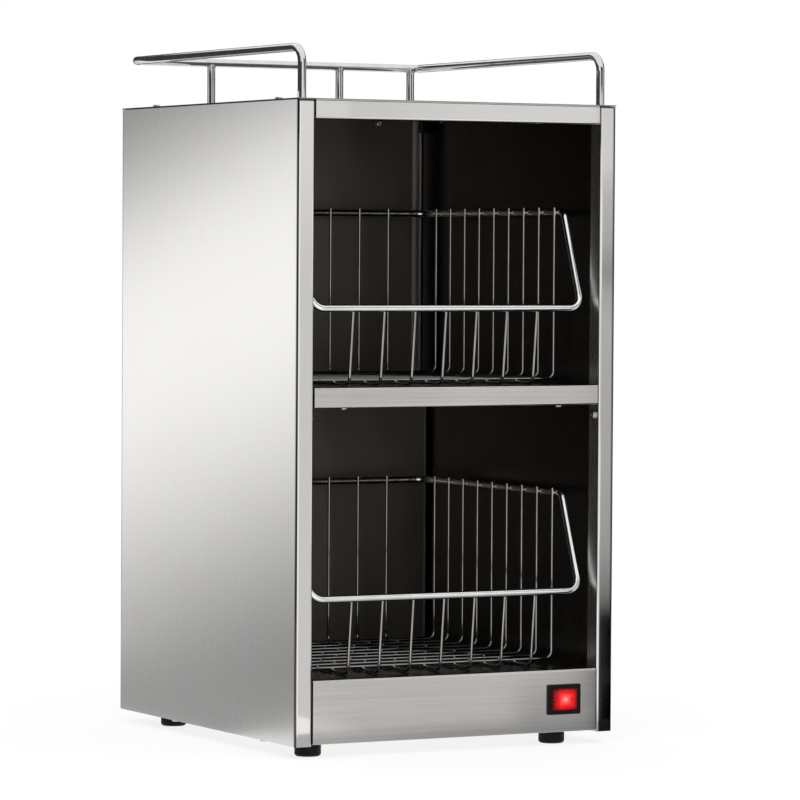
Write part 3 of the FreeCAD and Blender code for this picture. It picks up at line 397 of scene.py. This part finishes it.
def lamp_glass(name):
    """Neon lamp: clear glass with an orange glow inside."""
    made, tree = new_material(name)
    glow = stretched_noise(tree, (2 * MM, 2 * MM, 5 * MM), 1.0, 8.3)
    finish_material(tree, add(tree, "ShaderNodeBsdfPrincipled", {
        "Base Color": linear("#FFC8A0"), "Roughness": 0.05, "IOR": 1.5, "Transmission Weight": 0.6,
        "Emission Color": tinted(tree, ranged(tree, glow, 0.0, 1.0), "#FF6A28", "#FFB070"),
        "Emission Strength": 2.0}).outputs[0])
    return made


def card_material(name, tone, one_sided):
    """Emission for a studio card; tone builds its strength, and a one-sided card is clear from behind."""
    made, tree = new_material(name)
    light = add(tree, "ShaderNodeEmission", {"Color": linear("#FFFFFF"), "Strength": tone(tree)})
    shader = light.outputs[0]
    if one_sided:
        behind = add(tree, "ShaderNodeNewGeometry").outputs["Backfacing"]
        clear = add(tree, "ShaderNodeBsdfTransparent", {"Color": linear("#FFFFFF")})
        shader = add(tree, "ShaderNodeMixShader", {0: behind, 1: shader, 2: clear.outputs[0]}).outputs[0]
    finish_material(tree, shader)
    return made


def dress(nodes, material):
    """Gives CAD nodes their material."""
    for name in nodes:
        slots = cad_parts[name].data.materials
        slots.clear()
        slots.append(material)


def even_tone(strength):
    return lambda tree: strength


def card(name, corners, tone, faces=((0, 1, 2, 3),), one_sided=False):
    """A studio card, seen only in reflections."""
    material = card_material(name, tone, one_sided)
    mesh = bpy.data.meshes.new(name)
    mesh.from_pydata([Vector(c) for c in corners], [], faces)
    made = bpy.data.objects.new(name, mesh)
    bpy.context.scene.collection.objects.link(made)
    mesh.materials.append(material)
    made.visible_camera = False
    made.visible_diffuse = False
    made.visible_shadow = False
    return made


def node_group(name, inputs):
    """A Geometry Nodes tree with its named inputs, the geometry first."""
    tree = bpy.data.node_groups.new(name, "GeometryNodeTree")
    tree.interface.new_socket("Geometry", in_out="INPUT", socket_type="NodeSocketGeometry")
    for label, kind in inputs:
        tree.interface.new_socket(label, in_out="INPUT", socket_type=kind)
    tree.interface.new_socket("Geometry", in_out="OUTPUT", socket_type="NodeSocketGeometry")
    return tree, tree.nodes.new("NodeGroupInput").outputs


def finish_group(tree, instances, material):
    """Realizes the instances, smooths them and sets their material."""
    real = add(tree, "GeometryNodeRealizeInstances", {0: instances})
    smooth = add(tree, "GeometryNodeSetShadeSmooth", {0: real.outputs[0]})
    coated = add(tree, "GeometryNodeSetMaterial", {"Geometry": smooth.outputs[0], "Material": material})
    add(tree, "NodeGroupOutput", {0: coated.outputs[0]})


def repeated(name, points, tree, values, body):
    """Runs the tree on bare points, keeps its result as a plain mesh and lets it ride on the body."""
    mesh = bpy.data.meshes.new(name)
    mesh.from_pydata([Vector(p) for p in points], [], [])
    made = bpy.data.objects.new(name, mesh)
    bpy.context.scene.collection.objects.link(made)
    modifier = made.modifiers.new(name, "NODES")
    modifier.node_group = tree
    for item in tree.interface.items_tree:
        if item.in_out == "INPUT" and item.name in values:
            modifier[item.identifier] = values[item.name]
    ready = made.evaluated_get(bpy.context.evaluated_depsgraph_get())
    finished = bpy.data.meshes.new_from_object(ready)
    made.modifiers.remove(modifier)
    made.data = finished
    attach(made, body)
    return made


def nugget_tree(material):
    """Squashed weld nuggets, one on each point."""
    tree, given = node_group("Weld_nuggets", (("Radius", "NodeSocketFloat"),
                                              ("Flatness", "NodeSocketVector")))
    ball = add(tree, "GeometryNodeMeshIcoSphere", {"Radius": given["Radius"], "Subdivisions": 2})
    placed = add(tree, "GeometryNodeInstanceOnPoints", {
        "Points": given["Geometry"], "Instance": ball.outputs["Mesh"], "Scale": given["Flatness"]})
    finish_group(tree, placed.outputs[0], material)
    return tree


def bead_tree(material):
    """Round weld beads about the vertical, one on each point."""
    tree, given = node_group("Weld_beads", (("Ring radius", "NodeSocketFloat"),
                                            ("Bead radius", "NodeSocketFloat")))
    ring = add(tree, "GeometryNodeCurvePrimitiveCircle", {"Radius": given["Ring radius"], "Resolution": 32})
    section = add(tree, "GeometryNodeCurvePrimitiveCircle", {
        "Radius": given["Bead radius"], "Resolution": 10})
    bead = add(tree, "GeometryNodeCurveToMesh", {0: ring.outputs[0], 1: section.outputs[0]})
    placed = add(tree, "GeometryNodeInstanceOnPoints", {
        "Points": given["Geometry"], "Instance": bead.outputs[0]})
    finish_group(tree, placed.outputs[0], material)
    return tree


def rib_tree(material):
    """Grip ribs in a ring about an axis along Y through each point."""
    tree, given = node_group("Grip_ribs", (("Count", "NodeSocketInt"), ("Ring radius", "NodeSocketFloat"),
                                           ("Rib radius", "NodeSocketFloat"), ("Length", "NodeSocketFloat")))
    ring = add(tree, "GeometryNodeMeshCircle", {"Vertices": given["Count"], "Radius": given["Ring radius"]})
    rib = add(tree, "GeometryNodeMeshCylinder", {
        "Vertices": 10, "Radius": given["Rib radius"], "Depth": given["Length"]})
    ribs = add(tree, "GeometryNodeInstanceOnPoints", {"Points": ring.outputs[0], "Instance": rib.outputs[0]})
    tipped = add(tree, "GeometryNodeTransform", {
        "Geometry": ribs.outputs[0], "Rotation": (math.radians(90), 0.0, 0.0)})
    placed = add(tree, "GeometryNodeInstanceOnPoints", {
        "Points": given["Geometry"], "Instance": tipped.outputs[0]})
    finish_group(tree, placed.outputs[0], material)
    return tree


def clusters(values, apart=4.0 * MM):
    """Centres of the groups of values that lie apart from each other."""
    ordered = sorted(values)
    groups = [[ordered[0]]]
    for value in ordered[1:]:
        if value - groups[-1][-1] > apart:
            groups.append([])
        groups[-1].append(value)
    return [(group[0] + group[-1]) / 2 for group in groups]


def wire_places(node, axis):
    """Places of a basket's parallel wires along the axis, read from the upright stretches of their mesh."""
    low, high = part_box(node)
    middle = low.z + 0.6 * (high.z - low.z)
    return clusters([v.co[axis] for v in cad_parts[node].data.vertices if v.co.z > middle])


class CupWarmerLooks(bpy.types.PropertyGroup):
    """Colours and finishes that a user would change."""

    sheet_roughness: bpy.props.FloatProperty(
        name="Sheet roughness", description="Roughness of the brushed outer faces", default=0.27,
        min=0.05, max=0.9)
    rod_roughness: bpy.props.FloatProperty(
        name="Rod roughness", description="Roughness of the chromed rods and wires", default=0.06,
        min=0.0, max=0.6)
    nugget_radius: bpy.props.FloatProperty(
        name="Nugget radius", description="Radius of the weld nuggets where wires cross", default=1.5 * MM,
        min=0.5 * MM, max=3.0 * MM, subtype="DISTANCE", unit="LENGTH")
    bead_radius: bpy.props.FloatProperty(
        name="Bead radius", description="Radius of the weld beads under the gallery rail", default=0.6 * MM,
        min=0.2 * MM, max=2.0 * MM, subtype="DISTANCE", unit="LENGTH")
    rib_count: bpy.props.IntProperty(
        name="Grip ribs", description="Number of ribs round the gland cap", default=16, min=6, max=30)
    world_strength: bpy.props.FloatProperty(
        name="World strength", description="Strength of the even white light round the object", default=1.0,
        min=0.0, max=2.0)
    lamp_power: bpy.props.FloatProperty(
        name="Lamp power", description="Power of the soft key lamp", default=18.0, min=0.0, max=500.0,
        unit="POWER")


class CUPWARMER_OT_case(bpy.types.Operator):
    """Finish the folded sheets of the case"""

    bl_idname = "cup_warmer.case"
    bl_label = "Case Sheets"

    def execute(self, context):
        looks = context.scene.cup_warmer
        rough = looks.sheet_roughness
        skin = 0.6 * SHEET
        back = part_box("back_panel")[1].y - 1.5 * SHEET
        fold = front_face + 1.3 * SHEET
        # The boxes behind_lip, behind_fold, high and under_lid mark where the sheets' inner faces are painted
        # dark, as painted shade inside the case.
        behind_lip = Vector((case_low.x + skin, front_face + LIP_DEPTH + 0.3 * SHEET, -1.0))
        behind_fold = Vector((case_low.x + skin, fold, -1.0))
        high = Vector((case_high.x - skin, back, case_high.z + 0.5 * SHEET))
        under_lid = Vector((high.x, high.y, lid_top - skin))
        upright_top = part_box("left_side_panel")[1].z
        dress(["left_side_panel", "right_side_panel"],
              brushed_sheet("Brushed_304_upright", "Z", "#E7E5E3", "#E9E8E6", rough, (behind_lip, high), fold,
                            bend_top=upright_top))
        dress(["top_panel"],
              brushed_sheet("Brushed_304_lid", "X", "#DFDDDA", "#E6E4E2", rough, (behind_fold, under_lid),
                            fold, case_high.x - 0.2 * SHEET, lid_top))
        dress(["lower_shelf", "upper_shelf"],
              brushed_sheet("Brushed_304_shelf", "X", "#CDCAC7", "#E0DDDA", 0.55 * rough,
                            (behind_fold, high)))
        dress(["back_panel", "base_panel"],
              brushed_sheet("Brushed_304_rear", "X", "#D2D0CD", "#DEDCD9", rough))
        for node, width in COVER_FOLD.items():
            fold_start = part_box(node)[1].x - COVER_FLANGE[node] - width
            dress([node], duct_sheet("Painted_shade_304_of_" + node, fold_start))
        dress(["upper_heater_cover", "lower_heater_cover"],
              brushed_sheet("Rolled_304_cover", "X", "#9C9A97", "#B8B6B3", 0.38))
        return {"FINISHED"}


class CUPWARMER_OT_rods(bpy.types.Operator):
    """Finish the gallery rail, its posts and the wire baskets"""

    bl_idname = "cup_warmer.rods"
    bl_label = "Rods and Wires"

    def execute(self, context):
        rough = context.scene.cup_warmer.rod_roughness
        dress(["gallery_rail", "gallery_posts"],
              polished_rod("Polished_304_rod", "#D4D2D0", "#E2E1DF", rough))
        # One chrome in two copies: the rims get a lighter copy, a painted highlight, and the wires a darker
        # copy, painted shade.
        dress([which + "_basket_rim" for which in BASKETS],
              polished_rod("Chromed_rod_painted_highlight", "#ECEBEA", "#F8F8F7", rough))
        dress([which + kind for which in BASKETS for kind in ("_basket_long_wires", "_basket_cross_wires")],
              polished_rod("Chromed_wire_painted_shade", "#9C9A97", "#AFADAB", rough))
        return {"FINISHED"}


class CUPWARMER_OT_welds(bpy.types.Operator):
    """Add the weld nuggets of the baskets and the beads of the gallery posts"""

    bl_idname = "cup_warmer.welds"
    bl_label = "Welds"

    def execute(self, context):
        looks = context.scene.cup_warmer
        chrome = polished_rod("Chromed_weld", "#B4B2AF", "#C8C6C4", looks.rod_roughness + 0.12)
        tree = nugget_tree(chrome)
        for which, body in BASKETS.items():
            repeated(which + "_basket_welds", self.crossings(which), tree,
                     {"Radius": looks.nugget_radius, "Flatness": (1.0, 1.0, 0.8)}, body)
        steel = polished_rod("Buffed_weld", "#B4B2AF", "#C4C2C0", looks.rod_roughness + 0.1)
        repeated("gallery_beads", self.post_tops(), bead_tree(steel),
                 {"Ring radius": ROD_DIA / 2, "Bead radius": looks.bead_radius}, CABINET)
        return {"FINISHED"}

    def crossings(self, which):
        """Where the long and cross wires touch each other and the rim."""
        long_node, cross_node = which + "_basket_long_wires", which + "_basket_cross_wires"
        rim_low, rim_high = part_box(which + "_basket_rim")
        across = wire_places(long_node, 0)
        along = wire_places(cross_node, 1)
        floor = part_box(long_node)[0].z + WIRE_DIA
        places = [(x, y, floor) for x in across for y in along]
        front_level = rim_low.z + RIM_DIA / 2
        back_level = rim_high.z - RIM_DIA / 2
        places += [(x, rim_low.y + RIM_DIA, front_level) for x in across]
        places += [(x, rim_high.y - RIM_DIA, back_level) for x in across]
        places += [(x, y, back_level) for y in along for x in (rim_low.x + RIM_DIA, rim_high.x - RIM_DIA)]
        return places

    def post_tops(self):
        """Just under the rail at each gallery post."""
        low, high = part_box("gallery_posts")
        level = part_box("gallery_rail")[1].z - ROD_DIA
        tops = clusters([v.co.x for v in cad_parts["gallery_posts"].data.vertices], 10 * MM)
        return [(x, (low.y + high.y) / 2, level) for x in tops]


class CUPWARMER_OT_fixings(bpy.types.Operator):
    """Finish screws, nuts, spacers and the earth stud"""

    bl_idname = "cup_warmer.fixings"
    bl_label = "Screws and Nuts"

    def execute(self, context):
        dress(["top_panel_screws", "back_panel_screws", "base_panel_screws", "duct_cover_screws",
               "shelf_support_screws", "shelf_support_nuts", "foot_screws", "foot_nuts", "gallery_nuts",
               "heater_cover_spacers", "heater_cover_screws", "terminal_screws", "earth_stud", "earth_nut"],
              turned_steel("Zinc_plated_steel"))
        return {"FINISHED"}


class CUPWARMER_OT_switch(bpy.types.Operator):
    """Finish the lit rocker switch"""

    bl_idname = "cup_warmer.switch"
    bl_label = "Rocker Switch"

    def execute(self, context):
        dress(["switch_housing"], moulded("Black_nylon", "#0B0B0B", "#191818", 0.34, specular=0.15))
        dress(["switch_rocker"], lit_rocker("Red_polycarbonate_lit"))
        dress(["switch_lamp"], lamp_glass("Neon_lamp_glass"))
        dress(["switch_blades", "crimp_terminals", "earth_lug"], brass("Stamped_brass"))
        return {"FINISHED"}


class CUPWARMER_OT_inside(bpy.types.Operator):
    """Finish heaters, pads, leads and the terminal block"""

    bl_idname = "cup_warmer.inside"
    bl_label = "Inside Parts"

    def execute(self, context):
        dress(["upper_heater", "lower_heater"], moulded("Silicone_mat", "#8E3A22", "#A84A2E", 0.6, 2.5 * MM))
        dress(["upper_insulation", "lower_insulation"],
              moulded("Mineral_wool", "#BDB49A", "#DAD3BE", 0.9, 3.0 * MM, 0.8 * MM))
        dress(["upper_thermostat", "lower_thermostat"], turned_steel("Drawn_aluminium_cap"))
        dress(["terminal_block"], moulded("Cream_ceramic", "#D6CFBE", "#E9E3D4", 0.4))
        dress(["live_wires", "heater_links"], moulded("Brown_silicone_lead", "#4A2A16", "#5E3820", 0.5))
        dress(["neutral_wires"], moulded("Blue_silicone_lead", "#1D3F8A", "#2B53A6", 0.5))
        dress(["earth_wire"], moulded("Green_silicone_lead", "#4E8A22", "#8FA62B", 0.5, 3.0 * MM))
        dress(["wire_clips"], moulded("Natural_nylon", "#D9D5CA", "#E8E5DC", 0.45))
        return {"FINISHED"}


class CUPWARMER_OT_feet_and_gland(bpy.types.Operator):
    """Finish the rubber feet and the cord gland"""

    bl_idname = "cup_warmer.feet_and_gland"
    bl_label = "Feet and Gland"

    def execute(self, context):
        dress(["rubber_feet"],
              moulded("Black_nitrile_rubber", "#0A0A0A", "#161616", 0.55, 1.2 * MM, 0.08 * MM, 0.15))
        nylon = moulded("Black_nylon_gland", "#0E0E0E", "#1C1C1C", 0.4)
        dress(["cord_gland_body", "cord_gland_cap", "cord_gland_locknut"], nylon)
        looks = context.scene.cup_warmer
        low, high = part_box("cord_gland_cap")
        length = 0.6 * (high.y - low.y)
        middle = ((low.x + high.x) / 2, low.y + length / 2 + 0.5 * MM, (low.z + high.z) / 2)
        repeated("gland_grip_ribs", [middle], rib_tree(nylon),
                 {"Count": looks.rib_count, "Ring radius": (high.x - low.x) / 2, "Rib radius": 0.6 * MM,
                  "Length": length}, CABINET)
        return {"FINISHED"}


class CUPWARMER_OT_stage(bpy.types.Operator):
    """Set the white floor, the world, the soft lamps, the reflector cards and the camera"""

    bl_idname = "cup_warmer.stage"
    bl_label = "Stage"

    def execute(self, context):
        self.floor()
        self.world(context)
        self.cards()
        self.lamps(context)
        self.camera(context)
        return {"FINISHED"}

    def floor(self):
        """White paper, a little aglow to the camera and in reflections."""
        reach = FLOOR_REACH
        mesh = bpy.data.meshes.new("Floor")
        mesh.from_pydata([(-reach, -reach, 0), (reach, -reach, 0), (reach, reach, 0), (-reach, reach, 0)],
                         [], [(0, 1, 2, 3)])
        floor = bpy.data.objects.new("Floor", mesh)
        bpy.context.scene.collection.objects.link(floor)
        made, tree = new_material("White_paper")
        paper = add(tree, "ShaderNodeBsdfDiffuse", {"Color": linear("#FFFFFF")})
        glow = add(tree, "ShaderNodeEmission", {"Color": linear("#FFFFFF"), "Strength": 1.0})
        path = add(tree, "ShaderNodeLightPath")
        seen = math_node(tree, "MAXIMUM", path.outputs["Is Camera Ray"], path.outputs["Is Glossy Ray"])
        seen = math_node(tree, "MAXIMUM", seen, path.outputs["Is Transmission Ray"])
        share = math_node(tree, "MULTIPLY", seen, FLOOR_GLOW)
        finish_material(tree, add(tree, "ShaderNodeMixShader", {
            0: share, 1: paper.outputs[0], 2: glow.outputs[0]}).outputs[0])
        mesh.materials.append(made)

    def world(self, context):
        """Even white, whose strength the settings change only for the light that it gives."""
        world = bpy.data.worlds.new("Studio")
        world.use_nodes = True
        tree = world.node_tree
        tree.nodes.clear()
        path = add(tree, "ShaderNodeLightPath")
        seen = math_node(tree, "MAXIMUM", path.outputs["Is Camera Ray"], path.outputs["Is Glossy Ray"])
        seen = math_node(tree, "MAXIMUM", seen, path.outputs["Is Transmission Ray"])
        even = add(tree, "ShaderNodeBackground", {
            "Color": linear("#FFFFFF"), "Strength": context.scene.cup_warmer.world_strength})
        white = add(tree, "ShaderNodeBackground", {"Color": linear("#FFFFFF"), "Strength": 1.0})
        mixed = add(tree, "ShaderNodeMixShader", {0: seen, 1: even.outputs[0], 2: white.outputs[0]})
        add(tree, "ShaderNodeOutputWorld", {"Surface": mixed.outputs[0]})
        context.scene.world = world

    def cards(self):
        """Cards that the sheets and rods mirror: they give the steel its gradients and dark bands."""
        x, near = case_low.x - CARD_GAP, case_low.x - SIDE_MAT_GAP
        self.upright("Side_card", (x, x), SIDE_CARD_ENDS, (0.0, CARD_TOP), self.side_tone)
        self.flat("Side_mat", (x, near), SIDE_MAT_ENDS, MAT_LEVEL, even_tone(0.36))
        y, flag_top = front_face - FRONT_CARD_GAP, CARD_TOP + FRONT_FLAG_RISE
        across = (0.0, FRONT_CARD_RIGHT)
        self.upright("Front_card", across, (y, y), (0.0, FRONT_CARD_TOP), self.front_tone)
        self.upright("Front_flag", across, (y, y), (FRONT_CARD_TOP, flag_top), even_tone(0.08))
        near = front_face - DARK_MAT_DEPTH
        self.flat("Front_mat", across, (y, near), MAT_LEVEL, self.mat_tone)
        self.flat("Dark_mat", (DARK_MAT_LEFT, FRONT_CARD_RIGHT), (near, front_face - DARK_MAT_GAP), MAT_LEVEL,
                  self.near_tone)
        low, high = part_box("gallery_posts")
        self.flat("Lid_mat", (low.x, high.x), (case_low.y, high.y), lid_top + MAT_LEVEL, even_tone(0.1),
                  one_sided=True)
        self.arc("Round_flag", (FLAG_START, FLAG_END), FLAG_RADIUS, (0.0, FLAG_HEIGHT), self.flag_tone)
        self.arc("Gallery_flag", (GALLERY_FLAG_START, GALLERY_FLAG_END), GALLERY_FLAG_RADIUS,
                 (lid_top, flag_top), even_tone(0.05))
        low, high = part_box("gallery_rail")
        x = low.x - RAIL_FLAG_GAP
        self.upright("Rail_flag", (x, x), (low.y, high.y), (lid_top + RAIL_FLAG_RISE, high.z),
                     even_tone(0.05), one_sided=True)

    def upright(self, name, xs, ys, heights, tone, one_sided=False):
        """A card that stands on the line from (xs[0], ys[0]) to (xs[1], ys[1])."""
        low, high = heights
        card(name, ((xs[0], ys[0], low), (xs[1], ys[1], low), (xs[1], ys[1], high), (xs[0], ys[0], high)),
             tone, one_sided=one_sided)

    def flat(self, name, xs, ys, level, tone, one_sided=False):
        """A card that lies level and faces up."""
        card(name, ((xs[0], ys[0], level), (xs[1], ys[0], level), (xs[1], ys[1], level),
                    (xs[0], ys[1], level)), tone, one_sided=one_sided)

    def arc(self, name, ends, radius, heights, tone):
        """A card bent round the middle, its ends in degrees about the vertical."""
        start, end = ends
        steps = math.ceil((end - start) / 5.0)
        ring = [math.radians(start + k * (end - start) / steps) for k in range(steps + 1)]
        corners = [(radius * math.cos(a), radius * math.sin(a), z) for a in ring for z in heights]
        card(name, corners, tone, [(2 * k, 2 * k + 2, 2 * k + 3, 2 * k + 1) for k in range(steps)])

    def side_tone(self, tree):
        """Bands that the left side mirrors, tilted a little as in the photograph."""
        place = object_place(tree)
        tilt = math_node(tree, "MULTIPLY", math_node(tree, "SUBTRACT", place[1], SIDE_TILT_PLACE), SIDE_TILT)
        slant = math_node(tree, "ADD", place[2], tilt)
        return stepped(tree, slant, ((-0.10, 0.24), (-0.02, 0.32), (0.028, 0.43), (0.078, 0.6), (0.135, 0.82),
                                     (0.177, 0.96), (0.243, 1.12), (0.28, 1.17), (0.375, 1.18), (0.42, 1.1),
                                     (0.457, 0.86), (0.529, 0.42), (0.58, 0.28)))

    def face_place(self, tree):
        """The place across the front face from which the camera's ray comes to a point of the card."""
        place = object_place(tree)
        back = math_node(tree, "SUBTRACT", place[1], front_face)
        return math_node(tree, "ADD", place[0], math_node(tree, "MULTIPLY", back, CARD_SLOPE)), place[2]

    def front_tone(self, tree):
        """Tones that the front face mirrors; the glints, for the rims, lie level with the two openings."""
        across, height = self.face_place(tree)
        strip = stepped(tree, height, ((0.0, 0.012), (0.02, 0.0), (0.062, 0.0), (0.085, 0.2), (0.127, 0.36),
                                       (0.2, 0.44), (0.35, 0.5), (0.375, 0.44), (0.395, 0.31), (0.43, 0.47),
                                       (0.47, 0.55), (0.5, 0.74)))
        even = stepped(tree, height, ((0.0, 0.69), (0.4, 0.69), (0.48, 0.8), (CARD_TOP, 0.86)))
        fading = stepped(tree, across, ((-0.3, 1.0), (-0.136, 1.0), (-0.132, 0.87), (0.0, 1.0), (0.3, 1.0)))
        even = math_node(tree, "MULTIPLY", even, fading)
        glints = stepped(tree, height, ((0.0, 0.0), (0.13, 0.0), (0.15, 0.45), (0.22, 0.45), (0.25, 0.0),
                                        (0.365, 0.0), (0.385, 0.45), (0.46, 0.45), (0.48, 0.0),
                                        (CARD_TOP, 0.0)))
        inside = math_node(tree, "LESS_THAN", math_node(tree, "ABSOLUTE", across, 0.0), OPENING_REACH)
        even = math_node(tree, "ADD", even, math_node(tree, "MULTIPLY", glints, inside))
        right = ranged(tree, across, 0.0, 1.0, STRIP_START, STRIP_FULL)
        return add(tree, "ShaderNodeMix", {0: right, 2: even, 3: strip}).outputs[0]

    def mat_tone(self, tree):
        """Tones of the floor further off, which the middle of the fascia mirrors."""
        across = self.face_place(tree)[0]
        return stepped(tree, across, ((-0.1, 0.69), (0.052, 0.66), (0.057, 0.46), (0.135, 0.46), (0.139, 0.0),
                                      (0.3, 0.0)))

    def near_tone(self, tree):
        """Tones of the floor just before the feet, which the foot of the fascia mirrors."""
        across = self.face_place(tree)[0]
        return stepped(tree, across, ((-0.13, 0.5), (0.0, 0.38), (STRIP_START, 0.3), (STRIP_FULL, 0.01),
                                      (0.3, 0.01)))

    def flag_tone(self, tree):
        """Dark all round the back and sides, fading to white at both ends of the arc."""
        place = object_place(tree)
        tone = stepped(tree, place[2], ((0.0, 0.16), (0.3, 0.12), (0.7, 0.05), (FLAG_HEIGHT, 0.05)))
        centre = math.radians((FLAG_START + FLAG_END) / 2)
        aside = math_node(tree, "ADD", math_node(tree, "MULTIPLY", place[0], math.cos(centre) / FLAG_RADIUS),
                          math_node(tree, "MULTIPLY", place[1], math.sin(centre) / FLAG_RADIUS))
        fading = ranged(tree, aside, 1.0, 0.0, math.cos(math.radians((FLAG_END - FLAG_START) / 2 - 1)), -0.3)
        return add(tree, "ShaderNodeMix", {0: fading, 2: tone, 3: FLAG_END_TONE}).outputs[0]

    def lamps(self, context):
        """Two soft lamps that reflections don't show."""
        power = context.scene.cup_warmer.lamp_power
        for name, place, size, share in LAMPS:
            data = bpy.data.lights.new(name, "AREA")
            data.energy = power * share
            data.size = size
            lamp = bpy.data.objects.new(name, data)
            context.scene.collection.objects.link(lamp)
            lamp.location = place
            aim = Vector(LAMP_AIM) - Vector(place)
            lamp.rotation_euler = aim.to_track_quat("-Z", "Y").to_euler()
            lamp.visible_glossy = False

    def camera(self, context):
        """The photograph's camera."""
        yaw, pitch, roll = (math.radians(a) for a in (CAMERA_YAW, CAMERA_PITCH, CAMERA_ROLL))
        ahead = Vector((math.sin(yaw) * math.cos(pitch), math.cos(yaw) * math.cos(pitch), math.sin(pitch)))
        right = Vector((math.cos(yaw), -math.sin(yaw), 0.0))
        up = right.cross(ahead)
        turned_right = right * math.cos(roll) + up * math.sin(roll)
        turned_up = up * math.cos(roll) - right * math.sin(roll)
        data = bpy.data.cameras.new("Camera")
        data.sensor_width = CAMERA_SENSOR
        data.lens = CAMERA_FOCUS_PIXELS * CAMERA_SENSOR / PICTURE_PIXELS
        data.clip_end = 100.0
        camera = bpy.data.objects.new("Camera", data)
        context.scene.collection.objects.link(camera)
        turn = Matrix((turned_right, turned_up, -ahead)).transposed().to_4x4()
        camera.matrix_world = Matrix.Translation(CAMERA_PLACE) @ turn
        context.scene.camera = camera


OPERATORS = (CUPWARMER_OT_case, CUPWARMER_OT_rods, CUPWARMER_OT_welds, CUPWARMER_OT_fixings,
             CUPWARMER_OT_switch, CUPWARMER_OT_inside, CUPWARMER_OT_feet_and_gland, CUPWARMER_OT_stage)


class CUPWARMER_PT_panel(bpy.types.Panel):
    """Sidebar panel with the settings and one button for each operator"""

    bl_label = "Cup Warmer"
    bl_idname = "CUPWARMER_PT_panel"
    bl_space_type = "VIEW_3D"
    bl_region_type = "UI"
    bl_category = "Cup Warmer"

    def draw(self, context):
        for name in CupWarmerLooks.__annotations__:
            self.layout.prop(context.scene.cup_warmer, name)
        for operator in OPERATORS:
            self.layout.operator(operator.bl_idname)


CLASSES = (CupWarmerLooks, *OPERATORS, CUPWARMER_PT_panel)


def register():
    for made in CLASSES:
        bpy.utils.register_class(made)
    bpy.types.Scene.cup_warmer = bpy.props.PointerProperty(type=CupWarmerLooks)


def unregister():
    del bpy.types.Scene.cup_warmer
    for made in reversed(CLASSES):
        bpy.utils.unregister_class(made)


def main():
    register()
    bpy.context.scene.view_settings.view_transform = "Standard"
    for operator in OPERATORS:
        group, name = operator.bl_idname.split(".")
        getattr(getattr(bpy.ops, group), name)()


if __name__ == "__main__":
    main()
